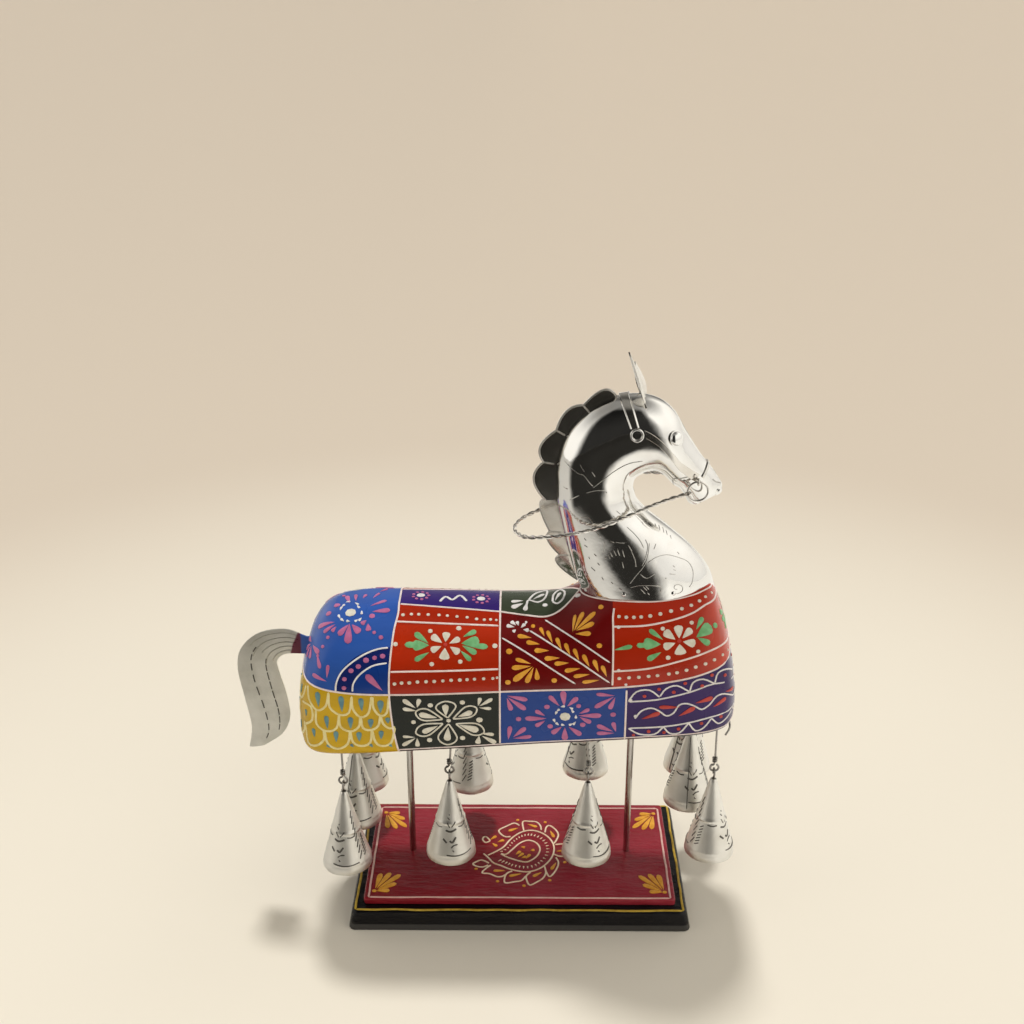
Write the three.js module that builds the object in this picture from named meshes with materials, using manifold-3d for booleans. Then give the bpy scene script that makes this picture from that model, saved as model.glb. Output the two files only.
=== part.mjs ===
// A painted wooden horse on a stand, with a metal head, neck and tail and ten hanging bells.
// Millimetres, +Z up. The origin is the middle of the stand's underside, and the horse faces +X.
// Its right side is at -Y and its left side at +Y.
import * as THREE from "three";
import { mergeVertices } from "three/addons/utils/BufferGeometryUtils.js";
import Module from "manifold-3d";

// Gap round every piece that is seated, threaded or slotted in another.
const FIT = 0.3;

// Stand: a flared black plinth under a red plaque, with two rods.
const PLINTH_LENGTH = 200;
const PLINTH_DEPTH = 109;
const PLINTH_HEIGHT = 12.5;
const PLINTH_FLARE = 2.5;
const PLINTH_CORNER = 4;
const PLAQUE_LENGTH = 182.5;
const PLAQUE_DEPTH = 92.6;
const PLAQUE_HEIGHT = 4.25;
const PLAQUE_CORNER = 2;
const EDGE_BREAK = 0.8;
const ROD_RADIUS = 2;
const ROD_SPACING = 131;
const ROD_IN_BASE = 11;
const ROD_IN_TORSO = 30;

// Torso: a wooden loaf whose belly rises a little to the front.
const TORSO_LENGTH = 250;
const TORSO_WIDTH = 77;
const TORSO_HEIGHT = 85;
const TORSO_MIDDLE = -2;
const BELLY_REAR = 107;
const BELLY_FRONT = 123.5;
const BELLY_EDGE = 6;
// Along the torso, half width, underside above the belly line and top above the belly's rear end,
// as shares of the torso's length, half width and height.
const TORSO_ROWS = [
  [0, 0.46, 0.1, 0.38],
  [0.004, 0.61, 0.055, 0.51],
  [0.014, 0.75, 0.02, 0.64],
  [0.032, 0.865, 0.005, 0.8],
  [0.06, 0.94, 0, 0.915],
  [0.1, 0.98, 0, 0.975],
  [0.156, 1, 0, 1],
  [0.228, 1, 0, 1.005],
  [0.368, 1, 0, 0.995],
  [0.508, 0.99, 0, 0.985],
  [0.588, 0.99, 0, 0.995],
  [0.64, 1, 0, 1.045],
  [0.692, 1, 0, 1.13],
  [0.756, 1, 0, 1.19],
  [0.836, 1, 0, 1.19],
  [0.892, 0.99, 0, 1.145],
  [0.936, 0.95, 0, 1.085],
  [0.962, 0.895, 0.005, 0.96],
  [0.98, 0.81, 0.02, 0.825],
  [0.994, 0.66, 0.06, 0.625],
  [1, 0.5, 0.1, 0.48],
];

// Neck and head: two pressed half shells, seated on the torso round a wooden stub.
const NECK_AT = 0.793;
const NECK_SEAT = 1.082;
const NECK_WALL = 1;
const STUB_ROOT = 8;
// Nape point, throat point and half width of each section, from the middle of the neck's foot.
const NECK_ROWS = [
  [-37.6, 0, 37.6, 0, 22.5],
  [-41.2, 9.4, 33.3, 12, 21.5],
  [-45.4, 24.8, 23.8, 24, 20],
  [-48.9, 39.9, 10.8, 35.6, 19],
  [-51.3, 51.9, -0.2, 44.3, 18],
  [-52.3, 63.7, -7.2, 52, 17],
  [-52.1, 72.4, -9.7, 58, 16.3],
  [-49.7, 83, -10.2, 61.8, 15.8],
  [-43.9, 94.8, -9.2, 65.6, 15.5],
  [-34.5, 104.4, -6.6, 67.9, 15.5],
  [-21.5, 111.2, -2.9, 69.7, 15.5],
  [-8.3, 112.9, 1.4, 70.3, 15.3],
  [2.3, 110.1, 5.2, 68.5, 15],
  [10.6, 103.4, 8.6, 65, 14.2],
  [16.9, 92.7, 11.5, 62.1, 12.6],
  [24.5, 80.8, 14.9, 59.8, 10.6],
  [29.8, 74, 17.8, 55.7, 9.2],
  [33.7, 69, 20.2, 51.5, 8.2],
  [36.2, 65.1, 23.5, 50.3, 7.4],
  [38, 61.9, 27.3, 53, 6.4],
  [37.7, 59.7, 31.8, 55.8, 4.4],
];
const NAIL_RADIUS = 0.6;
const NAIL_LENGTH = 9;
const NAIL_HEAD_RADIUS = 1.7;
const NAIL_HEAD_HEIGHT = 0.9;
const NAIL_ROW = 0.5;
const NAIL_ANGLES = [70, 112];

// Mane: a scalloped strip of sheet held in the seam of the nape.
const MANE_SHEET = 0.8;
const MANE_ROOT = 3;
const MANE_FIRST_ROW = 0.35;
const MANE_LAST_ROW = 10.05;
// Ends of the seven lobes and the outermost point of each, from the middle of the neck's foot.
const MANE_ENDS = [
  [-21.2, 112.1],
  [-38.3, 106.7],
  [-52.4, 92.5],
  [-59.1, 74.2],
  [-57.8, 51.9],
  [-55.2, 31.5],
  [-49.2, 17.5],
  [-39.2, 3.5],
];
const MANE_LOBES = [
  [-28, 115.3],
  [-47.2, 103.4],
  [-61, 83.3],
  [-64.6, 64],
  [-60.8, 45.5],
  [-56.3, 25.5],
  [-50.7, 11.5],
];

// Ears, eyes and bridle.
const EAR_SHEET = 0.8;
const EAR_WIDTH = 12;
const EAR_FOOT = 7;
const EAR_TAB = 3;
const EAR_ROW = 11.1;
const EAR_ANGLE = 24;
// Height of each ear, how far it leans back, how far it turns inwards and how far it splays out.
const EAR_LEFT = [18, 15, 30, 25];
const EAR_RIGHT = [28, 19, -5, 0];
const EYE_ROW = 13.05;
const EYE_ANGLE = 63;
const EYE_RIM_RADIUS = 4.4;
const EYE_RIM_HEIGHT = 0.7;
const EYE_RADIUS = 3.1;
const EYE_STUD_RADIUS = 1.2;
const EYE_STUD_LENGTH = 3;
const STRAP_SHEET = 0.6;
const STRAP_WIDTH = 4;
const STRAP_LAST_ROW = 15.5;
const STRAP_ANGLE = 79;
const STRAP_SAG = 18;
const CROWN_ROWS = [10.2, 10.55];
const NOSE_ROWS = [15.87, 16.03];
const NOSE_ANGLE = 66;
const CHEEK_ROW = 10.37;
const CHEEK_RADIUS = 3.1;

// Wire of the rings, hooks and links, and the stiff twisted rein.
const WIRE_RADIUS = 0.6;
const BIT_ROW = 16.2;
const BIT_ANGLE = 99;
const BIT_RADIUS = 5.4;
const REIN_RADIUS = 1.2;
const REIN_SLOPE = 15;
// The rein from the bit to its rear end: behind the bit, outwards, above the bit on the right side,
// and how much higher the left strand is bent.
const REIN_POINTS = [
  [16, 1.8, -4.2, 4],
  [27, 4, -7.8, 7],
  [40, 6.6, -13, 8],
  [54, 8, -18.2, 7],
  [68, 7.8, -21.8, 4],
  [82, 6, -24.4, 1],
  [92, 1.2, -26.4, 0],
  [96.6, -6, -27.4, 0],
];
const REIN_REACH = 98;
const REIN_DROP = -27.8;

// Tail: a cut sheet slotted into the rump, drawn from the middle of its root.
const TAIL_SHEET = 1;
const TAIL_TAB = 12;
const TAIL_ROOT_HEIGHT = 11;
const TAIL_SETBACK = 5;
const TAIL_HEIGHT = 53;
const TAIL_OUTER = [
  [-12.2, 10.3],
  [-27.8, 7.6],
  [-38.3, -2.2],
  [-41.2, -15.5],
  [-38.7, -35],
  [-36.1, -54.2],
  [-38.4, -68.8],
];
const TAIL_INNER = [
  [-29.4, -67.7],
  [-18.1, -59.3],
  [-13, -47.8],
  [-14, -33.5],
  [-17.5, -16.7],
  [-17.9, -10.1],
  [-12.7, -5.7],
];

// Bells: a cone of sheet on a wire link, which swings in a wire hook set in the belly.
const BELL_HEIGHT = 49;
const BELL_RADIUS = 14.4;
const BELL_RIM_HEIGHT = 5;
const BELL_RIM_FLARE = 0.7;
const BELL_CROWN_RADIUS = 2.4;
const BELL_CROWN_HEIGHT = 2;
const BELL_WALL = 0.6;
const BELL_INSET = 5;
const HOOK_IN_TORSO = 12;
const HOOK_RADIUS = 2.4;
const LINK_RADIUS = 2.2;
const LINK_NECK = 1.6;
const BEAD_RADIUS = 1.7;
// Name, place along the torso as a share of its length, side, and the bell's crown below the belly.
const BELLS = [
  ["right_rear", 0.104, -1, 26],
  ["right_mid_rear", 0.348, -1, 22],
  ["right_mid_front", 0.664, -1, 28],
  ["right_front", 0.952, -1, 32],
  ["left_rear", 0.12, 1, 16],
  ["left_mid_rear", 0.384, 1, 21],
  ["left_mid_front", 0.672, 1, 15],
  ["left_front", 0.924, 1, 16],
  ["rear", 0.116, 0, 19],
  ["front", 0.912, 0, 18],
];

// Facets.
const ROUND_SIDES = 12;
const WIRE_SIDES = 6;
const BELL_SIDES = 14;
const SHELL_STEPS = 9;
const EYE_PITCH = 1.7;
const WELD = 1e-4;

const wasm = await Module();
wasm.setup();
const horse = new THREE.Group();

const RED = new THREE.MeshStandardMaterial({ color: 0x6d0f1e, roughness: 0.35, metalness: 0 });
const BLACK = new THREE.MeshStandardMaterial({ color: 0x0e0d0f, roughness: 0.35, metalness: 0 });
const ORANGE = new THREE.MeshStandardMaterial({ color: 0xc9351a, roughness: 0.4, metalness: 0 });
const NICKEL = new THREE.MeshStandardMaterial({ color: 0xc9c6c0, roughness: 0.18, metalness: 1 });
const STEEL = new THREE.MeshStandardMaterial({ color: 0x9a9894, roughness: 0.35, metalness: 1 });

const radians = THREE.MathUtils.degToRad;
const at = (x, y, z) => new THREE.Vector3(x, y, z);
const sides = [["left", 1], ["right", -1]];

// Put a solid in the group as a named piece.
function piece(name, geometry, material) {
  const mesh = new THREE.Mesh(geometry, material);
  mesh.name = name;
  horse.add(mesh);
}

// A closed geometry as a solid that can be joined and cut.
function solid(geometry) {
  const loose = geometry.index ? geometry.toNonIndexed() : geometry;
  const bare = new THREE.BufferGeometry();
  bare.setAttribute("position", loose.getAttribute("position").clone());
  const merged = mergeVertices(bare, WELD);
  const mesh = new wasm.Mesh({
    numProp: 3,
    vertProperties: new Float32Array(merged.getAttribute("position").array),
    triVerts: new Uint32Array(merged.index.array),
  });
  return new wasm.Manifold(mesh);
}

function geometryOf(body) {
  const mesh = body.getMesh();
  const geometry = new THREE.BufferGeometry();
  geometry.setAttribute("position", new THREE.BufferAttribute(mesh.vertProperties, 3));
  geometry.setIndex(new THREE.BufferAttribute(mesh.triVerts, 1));
  geometry.computeVertexNormals();
  return geometry;
}

function cut(geometry, tools) {
  const body = tools.reduce((left, tool) => left.subtract(solid(tool)), solid(geometry));
  return geometryOf(body);
}

function join(geometries) {
  return geometryOf(geometries.map(solid).reduce((left, right) => left.add(right)));
}

// Turn a closed mesh round if its faces point inwards.
function outwards(corners) {
  let volume = 0;
  for (let i = 0; i < corners.length; i += 3) {
    volume += corners[i].dot(corners[i + 1].clone().cross(corners[i + 2]));
  }
  if (volume < 0) {
    for (let i = 0; i < corners.length; i += 3) {
      [corners[i + 1], corners[i + 2]] = [corners[i + 2], corners[i + 1]];
    }
  }
  const geometry = new THREE.BufferGeometry().setFromPoints(corners);
  geometry.computeVertexNormals();
  return geometry;
}

// Skin a row of closed sections that have equally many points. Each end is closed by a fan round
// its middle, or as a band where the section runs out along one wall and back along the other.
function loft(sections, band = false) {
  const count = sections[0].length;
  const corners = [];
  const quad = (a, b, c, d) => corners.push(a, b, c, a, c, d);
  for (let i = 0; i + 1 < sections.length; i += 1) {
    for (let j = 0; j < count; j += 1) {
      const next = (j + 1) % count;
      quad(sections[i][j], sections[i][next], sections[i + 1][next], sections[i + 1][j]);
    }
  }
  const close = (ring) => {
    if (band) {
      for (let j = 0; j + 1 < count / 2; j += 1) {
        quad(ring[j + 1], ring[j], ring[count - 1 - j], ring[count - 2 - j]);
      }
      return;
    }
    const middle = ring.reduce((sum, point) => sum.add(point), at(0, 0, 0)).divideScalar(count);
    for (let j = 0; j < count; j += 1) {
      corners.push(ring[(j + 1) % count], ring[j], middle);
    }
  };
  close(sections[0]);
  close([...sections[sections.length - 1]].reverse());
  return outwards(corners.map((corner) => corner.clone()));
}

// A round upright bar between two heights.
function bar(radius, x, y, low, high, sides = ROUND_SIDES) {
  const geometry = new THREE.CylinderGeometry(radius, radius, high - low, sides);
  return geometry.rotateX(Math.PI / 2).translate(x, y, (low + high) / 2);
}

// A round wire along a smooth curve through the points.
function wire(points, radius, steps) {
  const section = new THREE.Shape().absarc(0, 0, radius, 0, 2 * Math.PI);
  return new THREE.ExtrudeGeometry(section, {
    steps,
    curveSegments: WIRE_SIDES / 2,
    extrudePath: new THREE.CatmullRomCurve3(points),
  });
}

// Stand

// A board outline with rounded corners, at one height.
function boardOutline(length, depth, corner, z) {
  const points = [];
  for (let k = 0; k < 4; k += 1) {
    const sx = k === 0 || k === 3 ? 1 : -1;
    const sy = k < 2 ? 1 : -1;
    for (let j = 0; j < 4; j += 1) {
      const angle = ((k + j / 3) * Math.PI) / 2;
      const x = sx * (length / 2 - corner) + corner * Math.cos(angle);
      const y = sy * (depth / 2 - corner) + corner * Math.sin(angle);
      points.push(at(x, y, z));
    }
  }
  return points;
}

const plaqueTop = PLINTH_HEIGHT + PLAQUE_HEIGHT;
const plinthSections = [
  [EDGE_BREAK, 0],
  [0, EDGE_BREAK],
  [PLINTH_FLARE, PLINTH_HEIGHT - EDGE_BREAK],
  [PLINTH_FLARE + EDGE_BREAK, PLINTH_HEIGHT],
].map(([inset, z]) => {
  const length = PLINTH_LENGTH - 2 * inset;
  return boardOutline(length, PLINTH_DEPTH - 2 * inset, PLINTH_CORNER, z);
});
const plaqueSections = [
  [0, PLINTH_HEIGHT],
  [0, plaqueTop - EDGE_BREAK],
  [EDGE_BREAK, plaqueTop],
].map(([inset, z]) => {
  const length = PLAQUE_LENGTH - 2 * inset;
  return boardOutline(length, PLAQUE_DEPTH - 2 * inset, PLAQUE_CORNER, z);
});

const rodFoot = plaqueTop - ROD_IN_BASE;
const rodPlaces = [-ROD_SPACING / 2, ROD_SPACING / 2];
const overshoot = 1;
const rodHoles = rodPlaces.map((x) => {
  return bar(ROD_RADIUS + FIT, x, 0, rodFoot - FIT, plaqueTop + overshoot);
});
piece("base_plinth", cut(loft(plinthSections), rodHoles), BLACK);
piece("base_plaque", cut(loft(plaqueSections), rodHoles), RED);

// Torso

const torsoRear = TORSO_MIDDLE - TORSO_LENGTH / 2;
const along = (share) => torsoRear + share * TORSO_LENGTH;
const belly = (share) => BELLY_REAR + share * (BELLY_FRONT - BELLY_REAR);

// Half width of the torso at a share of its length.
function torsoHalfWidth(share) {
  const i = TORSO_ROWS.findIndex((row) => row[0] >= share);
  const [before, after] = [TORSO_ROWS[i - 1], TORSO_ROWS[i]];
  const part = (share - before[0]) / (after[0] - before[0]);
  return (TORSO_WIDTH / 2) * THREE.MathUtils.lerp(before[1], after[1], part);
}

// A section: a flat underside with rounded edges, upright sides and an arched back.
function torsoSection([share, wide, under, over]) {
  const half = (TORSO_WIDTH / 2) * wide;
  const low = belly(share) + under * TORSO_HEIGHT;
  const high = BELLY_REAR + over * TORSO_HEIGHT;
  const middle = (low + high) / 2;
  const edge = Math.min(BELLY_EDGE, half / 3, (high - low) / 3);
  const bevel = edge * (1 - Math.SQRT1_2);
  const right = [
    [half - 3 * edge, low],
    [half - edge, low],
    [half - bevel, low + bevel],
    [half, low + edge],
    [half, middle],
  ];
  const arcs = 6;
  for (let j = 1; j < arcs; j += 1) {
    const angle = (j / arcs) * (Math.PI / 2);
    right.push([half * Math.cos(angle), middle + (high - middle) * Math.sin(angle)]);
  }
  const left = right.map(([y, z]) => [-y, z]).reverse();
  return [...right, [0, high], ...left].map(([y, z]) => at(along(share), y, z));
}

const seatX = along(NECK_AT);
const seatZ = BELLY_REAR + NECK_SEAT * TORSO_HEIGHT;
const seated = ([x, z]) => at(seatX + x, 0, seatZ + z);

const napeCurve = new THREE.CatmullRomCurve3(
  NECK_ROWS.map(([x, z, , , half]) => at(seatX + x, half, seatZ + z)),
  false,
  "catmullrom",
);
const throatCurve = new THREE.CatmullRomCurve3(
  NECK_ROWS.map(([, , x, z]) => at(seatX + x, 0, seatZ + z)),
  false,
  "catmullrom",
);

// A point of the neck and head: a section's row, the angle round it from the nape, the side, and
// how far it lies outside the skin. The two halves part by half a gap each at the seam.
function skin(row, degrees, side, proud = 0) {
  const share = row / (NECK_ROWS.length - 1);
  const nape = napeCurve.getPoint(share);
  const throat = throatCurve.getPoint(share);
  const half = nape.y;
  nape.y = 0;
  const reach = nape.clone().sub(throat).multiplyScalar(0.5);
  const middle = nape.clone().add(throat).multiplyScalar(0.5);
  const angle = radians(degrees);
  const tall = reach.length() + proud;
  const wide = half + proud - FIT / 2;
  const point = middle.add(reach.normalize().multiplyScalar(tall * Math.cos(angle)));
  point.y = side * (FIT / 2 + wide * Math.sin(angle));
  return point;
}

// The outward direction of the skin.
function skinNormal(row, degrees, side) {
  const step = 0.05;
  const here = skin(row, degrees, side);
  const on = skin(row + step, degrees, side).sub(here);
  const round = skin(row, degrees + 1, side).sub(here);
  const normal = on.cross(round).normalize();
  const inside = skin(row, degrees, side, -NECK_WALL);
  return normal.dot(inside.sub(here)) < 0 ? normal : normal.negate();
}

// The wooden stub inside the neck's foot.
function stubSection(row, lower) {
  const points = [];
  const shy = -(NECK_WALL + FIT);
  for (const side of [1, -1]) {
    for (let j = 0; j < SHELL_STEPS; j += 1) {
      const degrees = ((side > 0 ? j : SHELL_STEPS - j) * 180) / SHELL_STEPS;
      const point = skin(row, degrees, side, shy);
      point.y = side * Math.max(0, Math.abs(point.y) - FIT / 2);
      point.z -= lower;
      points.push(point);
    }
  }
  return points;
}

const stub = loft([stubSection(0, STUB_ROOT), stubSection(0, 0), stubSection(1, 0)]);
const seatCut = new THREE.BoxGeometry(TORSO_LENGTH, TORSO_WIDTH, TORSO_HEIGHT);
seatCut.translate(seatX, 0, seatZ + TORSO_HEIGHT / 2);

// A sheet cut to an outline in the XZ plane, centred on Y = 0.
function sheet(outline, thickness, segments) {
  const settings = { depth: thickness, bevelEnabled: false, curveSegments: segments };
  const geometry = new THREE.ExtrudeGeometry(outline, settings);
  return geometry.rotateX(Math.PI / 2).translate(0, thickness / 2, 0);
}

// Mane outline: the lobes along the outside, then back along a root inside the nape.
function maneRoot(depth, extra) {
  const points = [];
  const steps = 10;
  for (let j = 0; j <= steps; j += 1) {
    const first = MANE_FIRST_ROW - extra;
    const row = first + (j / steps) * (MANE_LAST_ROW + extra - first);
    const point = skin(row, 0, 1, -depth);
    points.push(new THREE.Vector2(point.x, point.z));
  }
  return points;
}

const maneShape = new THREE.Shape();
const maneEnds = MANE_ENDS.map(seated);
maneShape.moveTo(maneEnds[0].x, maneEnds[0].z);
MANE_LOBES.map(seated).forEach((lobe, i) => {
  const [from, to] = [maneEnds[i], maneEnds[i + 1]];
  const pull = lobe.clone().multiplyScalar(2).sub(from.clone().add(to).multiplyScalar(0.5));
  maneShape.quadraticCurveTo(pull.x, pull.z, to.x, to.z);
});
maneRoot(MANE_ROOT, 0).forEach((point) => maneShape.lineTo(point.x, point.y));
const maneSlotShape = new THREE.Shape([
  ...maneRoot(MANE_ROOT + FIT, 0.05),
  ...maneRoot(-MANE_ROOT, 0.05).reverse(),
]);
const maneSlot = sheet(maneSlotShape, MANE_SHEET + 2 * FIT, 1);

// Tail outline, drawn from the middle of its root.
const tailX = torsoRear + TAIL_SETBACK;
const tailZ = BELLY_REAR + TAIL_HEIGHT;
const tailPoint = ([x, z]) => new THREE.Vector2(tailX + x, tailZ + z);
const tailShape = new THREE.Shape();
const tailTop = tailZ + TAIL_ROOT_HEIGHT / 2;
const tailBottom = tailZ - TAIL_ROOT_HEIGHT / 2;
tailShape.moveTo(tailX + TAIL_TAB, tailBottom);
tailShape.lineTo(tailX + TAIL_TAB, tailTop);
tailShape.lineTo(tailX, tailTop);
tailShape.splineThru(TAIL_OUTER.map(tailPoint));
tailShape.splineThru(TAIL_INNER.map(tailPoint));
tailShape.lineTo(tailX, tailBottom);
const tailSlot = new THREE.BoxGeometry(
  2 * (TAIL_TAB + FIT),
  TAIL_SHEET + 2 * FIT,
  TAIL_ROOT_HEIGHT + 2 * FIT,
).translate(tailX, 0, tailZ);

// Each bell's place: the crown, the hook's eye and the link's eye on one plumb line.
const linkDrop = HOOK_RADIUS + LINK_RADIUS - 2 * WIRE_RADIUS - FIT;
const crownDrop = linkDrop + LINK_RADIUS + WIRE_RADIUS + LINK_NECK;
const bellPlaces = BELLS.map(([name, share, side, hang]) => {
  const y = side * (torsoHalfWidth(share) - BELL_INSET);
  const crown = belly(share) - hang;
  return { name, x: along(share), y, belly: belly(share), crown, eye: crown + crownDrop };
});

const rodTops = rodPlaces.map((x) => belly((x - torsoRear) / TORSO_LENGTH) + ROD_IN_TORSO);
const rodBores = rodPlaces.map((x, i) => {
  return bar(ROD_RADIUS + FIT, x, 0, plaqueTop, rodTops[i] + FIT);
});
const hookBores = bellPlaces.map((bell) => {
  const top = bell.belly + HOOK_IN_TORSO + FIT;
  return bar(WIRE_RADIUS + FIT, bell.x, bell.y, bell.crown, top, WIRE_SIDES);
});

// Nails through the foot of each half shell into the stub, square to the skin.
const nails = [];
for (const [label, side] of sides) {
  NAIL_ANGLES.forEach((degrees, i) => {
    const outward = skinNormal(NAIL_ROW, degrees, side);
    const seat = skin(NAIL_ROW, degrees, side, FIT);
    const name = `neck_nail_${label}_${i === 0 ? "rear" : "front"}`;
    nails.push({ name, side, outward, seat });
  });
}

// A turned shape whose axis, drawn along +Y, points along a direction.
function turned(profile, sides, direction, place) {
  const points = profile.map(([radius, height]) => new THREE.Vector2(radius, height));
  const geometry = new THREE.LatheGeometry(points, sides);
  const turn = new THREE.Quaternion().setFromUnitVectors(at(0, 1, 0), direction);
  return geometry.applyQuaternion(turn).translate(place.x, place.y, place.z);
}

const nailHole = ({ outward, seat }) => {
  const radius = NAIL_RADIUS + FIT;
  const bottom = -(NAIL_LENGTH + FIT);
  const profile = [[0, bottom], [radius, bottom], [radius, overshoot], [0, overshoot]];
  return turned(profile, WIRE_SIDES, outward, seat);
};

const torsoBlock = geometryOf(
  solid(loft(TORSO_ROWS.map(torsoSection))).subtract(solid(seatCut)).add(solid(stub)),
);
const torsoCuts = [...rodBores, ...hookBores, ...nails.map(nailHole), maneSlot, tailSlot];
piece("torso", cut(torsoBlock, torsoCuts), ORANGE);
rodPlaces.forEach((x, i) => {
  piece(i === 0 ? "rod_rear" : "rod_front", bar(ROD_RADIUS, x, 0, rodFoot, rodTops[i]), STEEL);
});
piece("tail", sheet(tailShape, TAIL_SHEET, 3), NICKEL);

// Neck and head

// Across one half shell: out along the skin from nape to throat, and back along the inside.
function shellSection(row, side) {
  const lift = row === 0 ? FIT : 0;
  const outer = [];
  const inner = [];
  for (let j = 0; j <= SHELL_STEPS; j += 1) {
    const degrees = (j * 180) / SHELL_STEPS;
    outer.push(skin(row, degrees, side));
    inner.push(skin(row, degrees, side, -NECK_WALL));
  }
  return [...outer, ...inner.reverse()].map((point) => point.add(at(0, 0, lift)));
}

// A leaf-shaped ear standing on its tab, with some spare thickness and width for its slot.
function ear(side, spare) {
  const [height, lean, turn, splay] = side > 0 ? EAR_LEFT : EAR_RIGHT;
  const half = EAR_WIDTH / 2 + spare;
  const foot = EAR_FOOT / 2 + spare;
  const leaf = new THREE.Shape();
  leaf.moveTo(-foot, -EAR_TAB - spare);
  leaf.lineTo(foot, -EAR_TAB - spare);
  leaf.lineTo(foot, 0);
  leaf.bezierCurveTo(half * 1.3, height * 0.3, half * 0.9, height * 0.6, 0, height);
  leaf.bezierCurveTo(-half * 0.9, height * 0.6, -half * 1.3, height * 0.3, -foot, 0);
  const thickness = EAR_SHEET + 2 * spare;
  const settings = { depth: thickness, bevelEnabled: false, curveSegments: 5 };
  const geometry = new THREE.ExtrudeGeometry(leaf, settings);
  geometry.translate(0, 0, -thickness / 2).rotateX(Math.PI / 2).rotateZ(Math.PI / 2);
  geometry.rotateY(-radians(lean)).rotateZ(-side * radians(turn)).rotateX(-side * radians(splay));
  const foothold = skin(EAR_ROW, EAR_ANGLE, side);
  return geometry.translate(foothold.x, foothold.y, foothold.z);
}

const eyeSeat = (side) => skin(EYE_ROW, EYE_ANGLE, side, FIT);
const eyeNormal = (side) => skinNormal(EYE_ROW, EYE_ANGLE, side);

function eye(side) {
  const profile = [
    [0, -EYE_STUD_LENGTH],
    [EYE_STUD_RADIUS, -EYE_STUD_LENGTH],
    [EYE_STUD_RADIUS, 0],
    [EYE_RIM_RADIUS, 0],
    [EYE_RIM_RADIUS, EYE_RIM_HEIGHT],
  ];
  const arcs = 4;
  for (let j = 0; j < arcs; j += 1) {
    const angle = (j / arcs) * (Math.PI / 2);
    const height = EYE_RIM_HEIGHT + EYE_RADIUS * 0.8 * Math.sin(angle);
    profile.push([EYE_RADIUS * Math.cos(angle), height]);
  }
  profile.push([0, EYE_RIM_HEIGHT + EYE_RADIUS * 0.8]);
  return turned(profile, ROUND_SIDES, eyeNormal(side), eyeSeat(side));
}

function eyeHole(side) {
  const radius = EYE_STUD_RADIUS + FIT;
  const bottom = -(EYE_STUD_LENGTH + FIT);
  const profile = [[0, bottom], [radius, bottom], [radius, FIT / 2], [0, FIT / 2]];
  return turned(profile, ROUND_SIDES, eyeNormal(side), eyeSeat(side));
}

for (const [label, side] of sides) {
  const shell = loft(NECK_ROWS.map((_, row) => shellSection(row, side)), true);
  const holes = nails.filter((nail) => nail.side === side).map(nailHole);
  const cuts = [maneSlot, ear(side, FIT), eyeHole(side), ...holes];
  piece(`neck_shell_${label}`, cut(shell, cuts), NICKEL);
  piece(`ear_${label}`, ear(side, 0), NICKEL);
  piece(`eye_${label}`, eye(side), NICKEL);
}
piece("mane", sheet(maneShape, MANE_SHEET, 6), NICKEL);
for (const nail of nails) {
  const profile = [
    [0, -NAIL_LENGTH],
    [NAIL_RADIUS, -NAIL_LENGTH],
    [NAIL_RADIUS, 0],
    [NAIL_HEAD_RADIUS, 0],
    [NAIL_HEAD_RADIUS * 0.7, NAIL_HEAD_HEIGHT * 0.7],
    [0, NAIL_HEAD_HEIGHT],
  ];
  piece(nail.name, turned(profile, WIRE_SIDES + 2, nail.outward, nail.seat), STEEL);
}

// Bridle

// A strap of sheet on the skin: rows along it, and the angles of its two edges at a share of it.
function strap(rows, edges, side, lengthwise, across) {
  const sections = [];
  for (let i = 0; i <= lengthwise; i += 1) {
    const share = i / lengthwise;
    const row = THREE.MathUtils.lerp(rows[0], rows[1], share);
    const [from, to] = edges(row);
    const outer = [];
    const inner = [];
    for (let j = 0; j <= across; j += 1) {
      const degrees = THREE.MathUtils.lerp(from, to, j / across);
      const onSide = degrees < 0 ? -side : side;
      outer.push(skin(row, Math.abs(degrees), onSide, FIT + STRAP_SHEET));
      inner.push(skin(row, Math.abs(degrees), onSide, FIT));
    }
    sections.push([...outer, ...inner.reverse()]);
  }
  return loft(sections, true);
}

// A ring of wire round a centre, with its axis along a direction.
function ring(radius, wireRadius, direction, centre, steps) {
  const geometry = new THREE.TorusGeometry(radius, wireRadius, WIRE_SIDES, steps);
  const turn = new THREE.Quaternion().setFromUnitVectors(at(0, 0, 1), direction);
  return geometry.applyQuaternion(turn).translate(centre.x, centre.y, centre.z);
}

// Distances on the skin as angles round a section, and as rows along the cheek.
const sectionReach = (row) => skin(row, 0, 1).distanceTo(skin(row, 180, 1)) / 2;
const degreesOf = (length, row) => THREE.MathUtils.radToDeg(length / sectionReach(row));
const cheekPitch = skin(CHEEK_ROW, STRAP_ANGLE, 1).distanceTo(skin(CHEEK_ROW + 1, STRAP_ANGLE, 1));

// The crown band and the cheek straps end at the cheek rings.
const cheekEdge = CHEEK_RADIUS + WIRE_RADIUS + FIT;
const crownAngle = STRAP_ANGLE - degreesOf(cheekEdge, CHEEK_ROW);
const strapRows = [CHEEK_ROW + cheekEdge / cheekPitch, STRAP_LAST_ROW];
const strapEdges = (row) => {
  const spread = degreesOf(STRAP_WIDTH / 2, row);
  const share = (row - strapRows[0]) / (strapRows[1] - strapRows[0]);
  const middle = STRAP_ANGLE + STRAP_SAG * Math.sin(Math.PI * share);
  return [middle - spread, middle + spread];
};
piece("crown_band", strap(CROWN_ROWS, () => [-crownAngle, crownAngle], 1, 2, 14), NICKEL);
piece("noseband", strap(NOSE_ROWS, () => [-NOSE_ANGLE, NOSE_ANGLE], 1, 1, 14), NICKEL);

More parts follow.
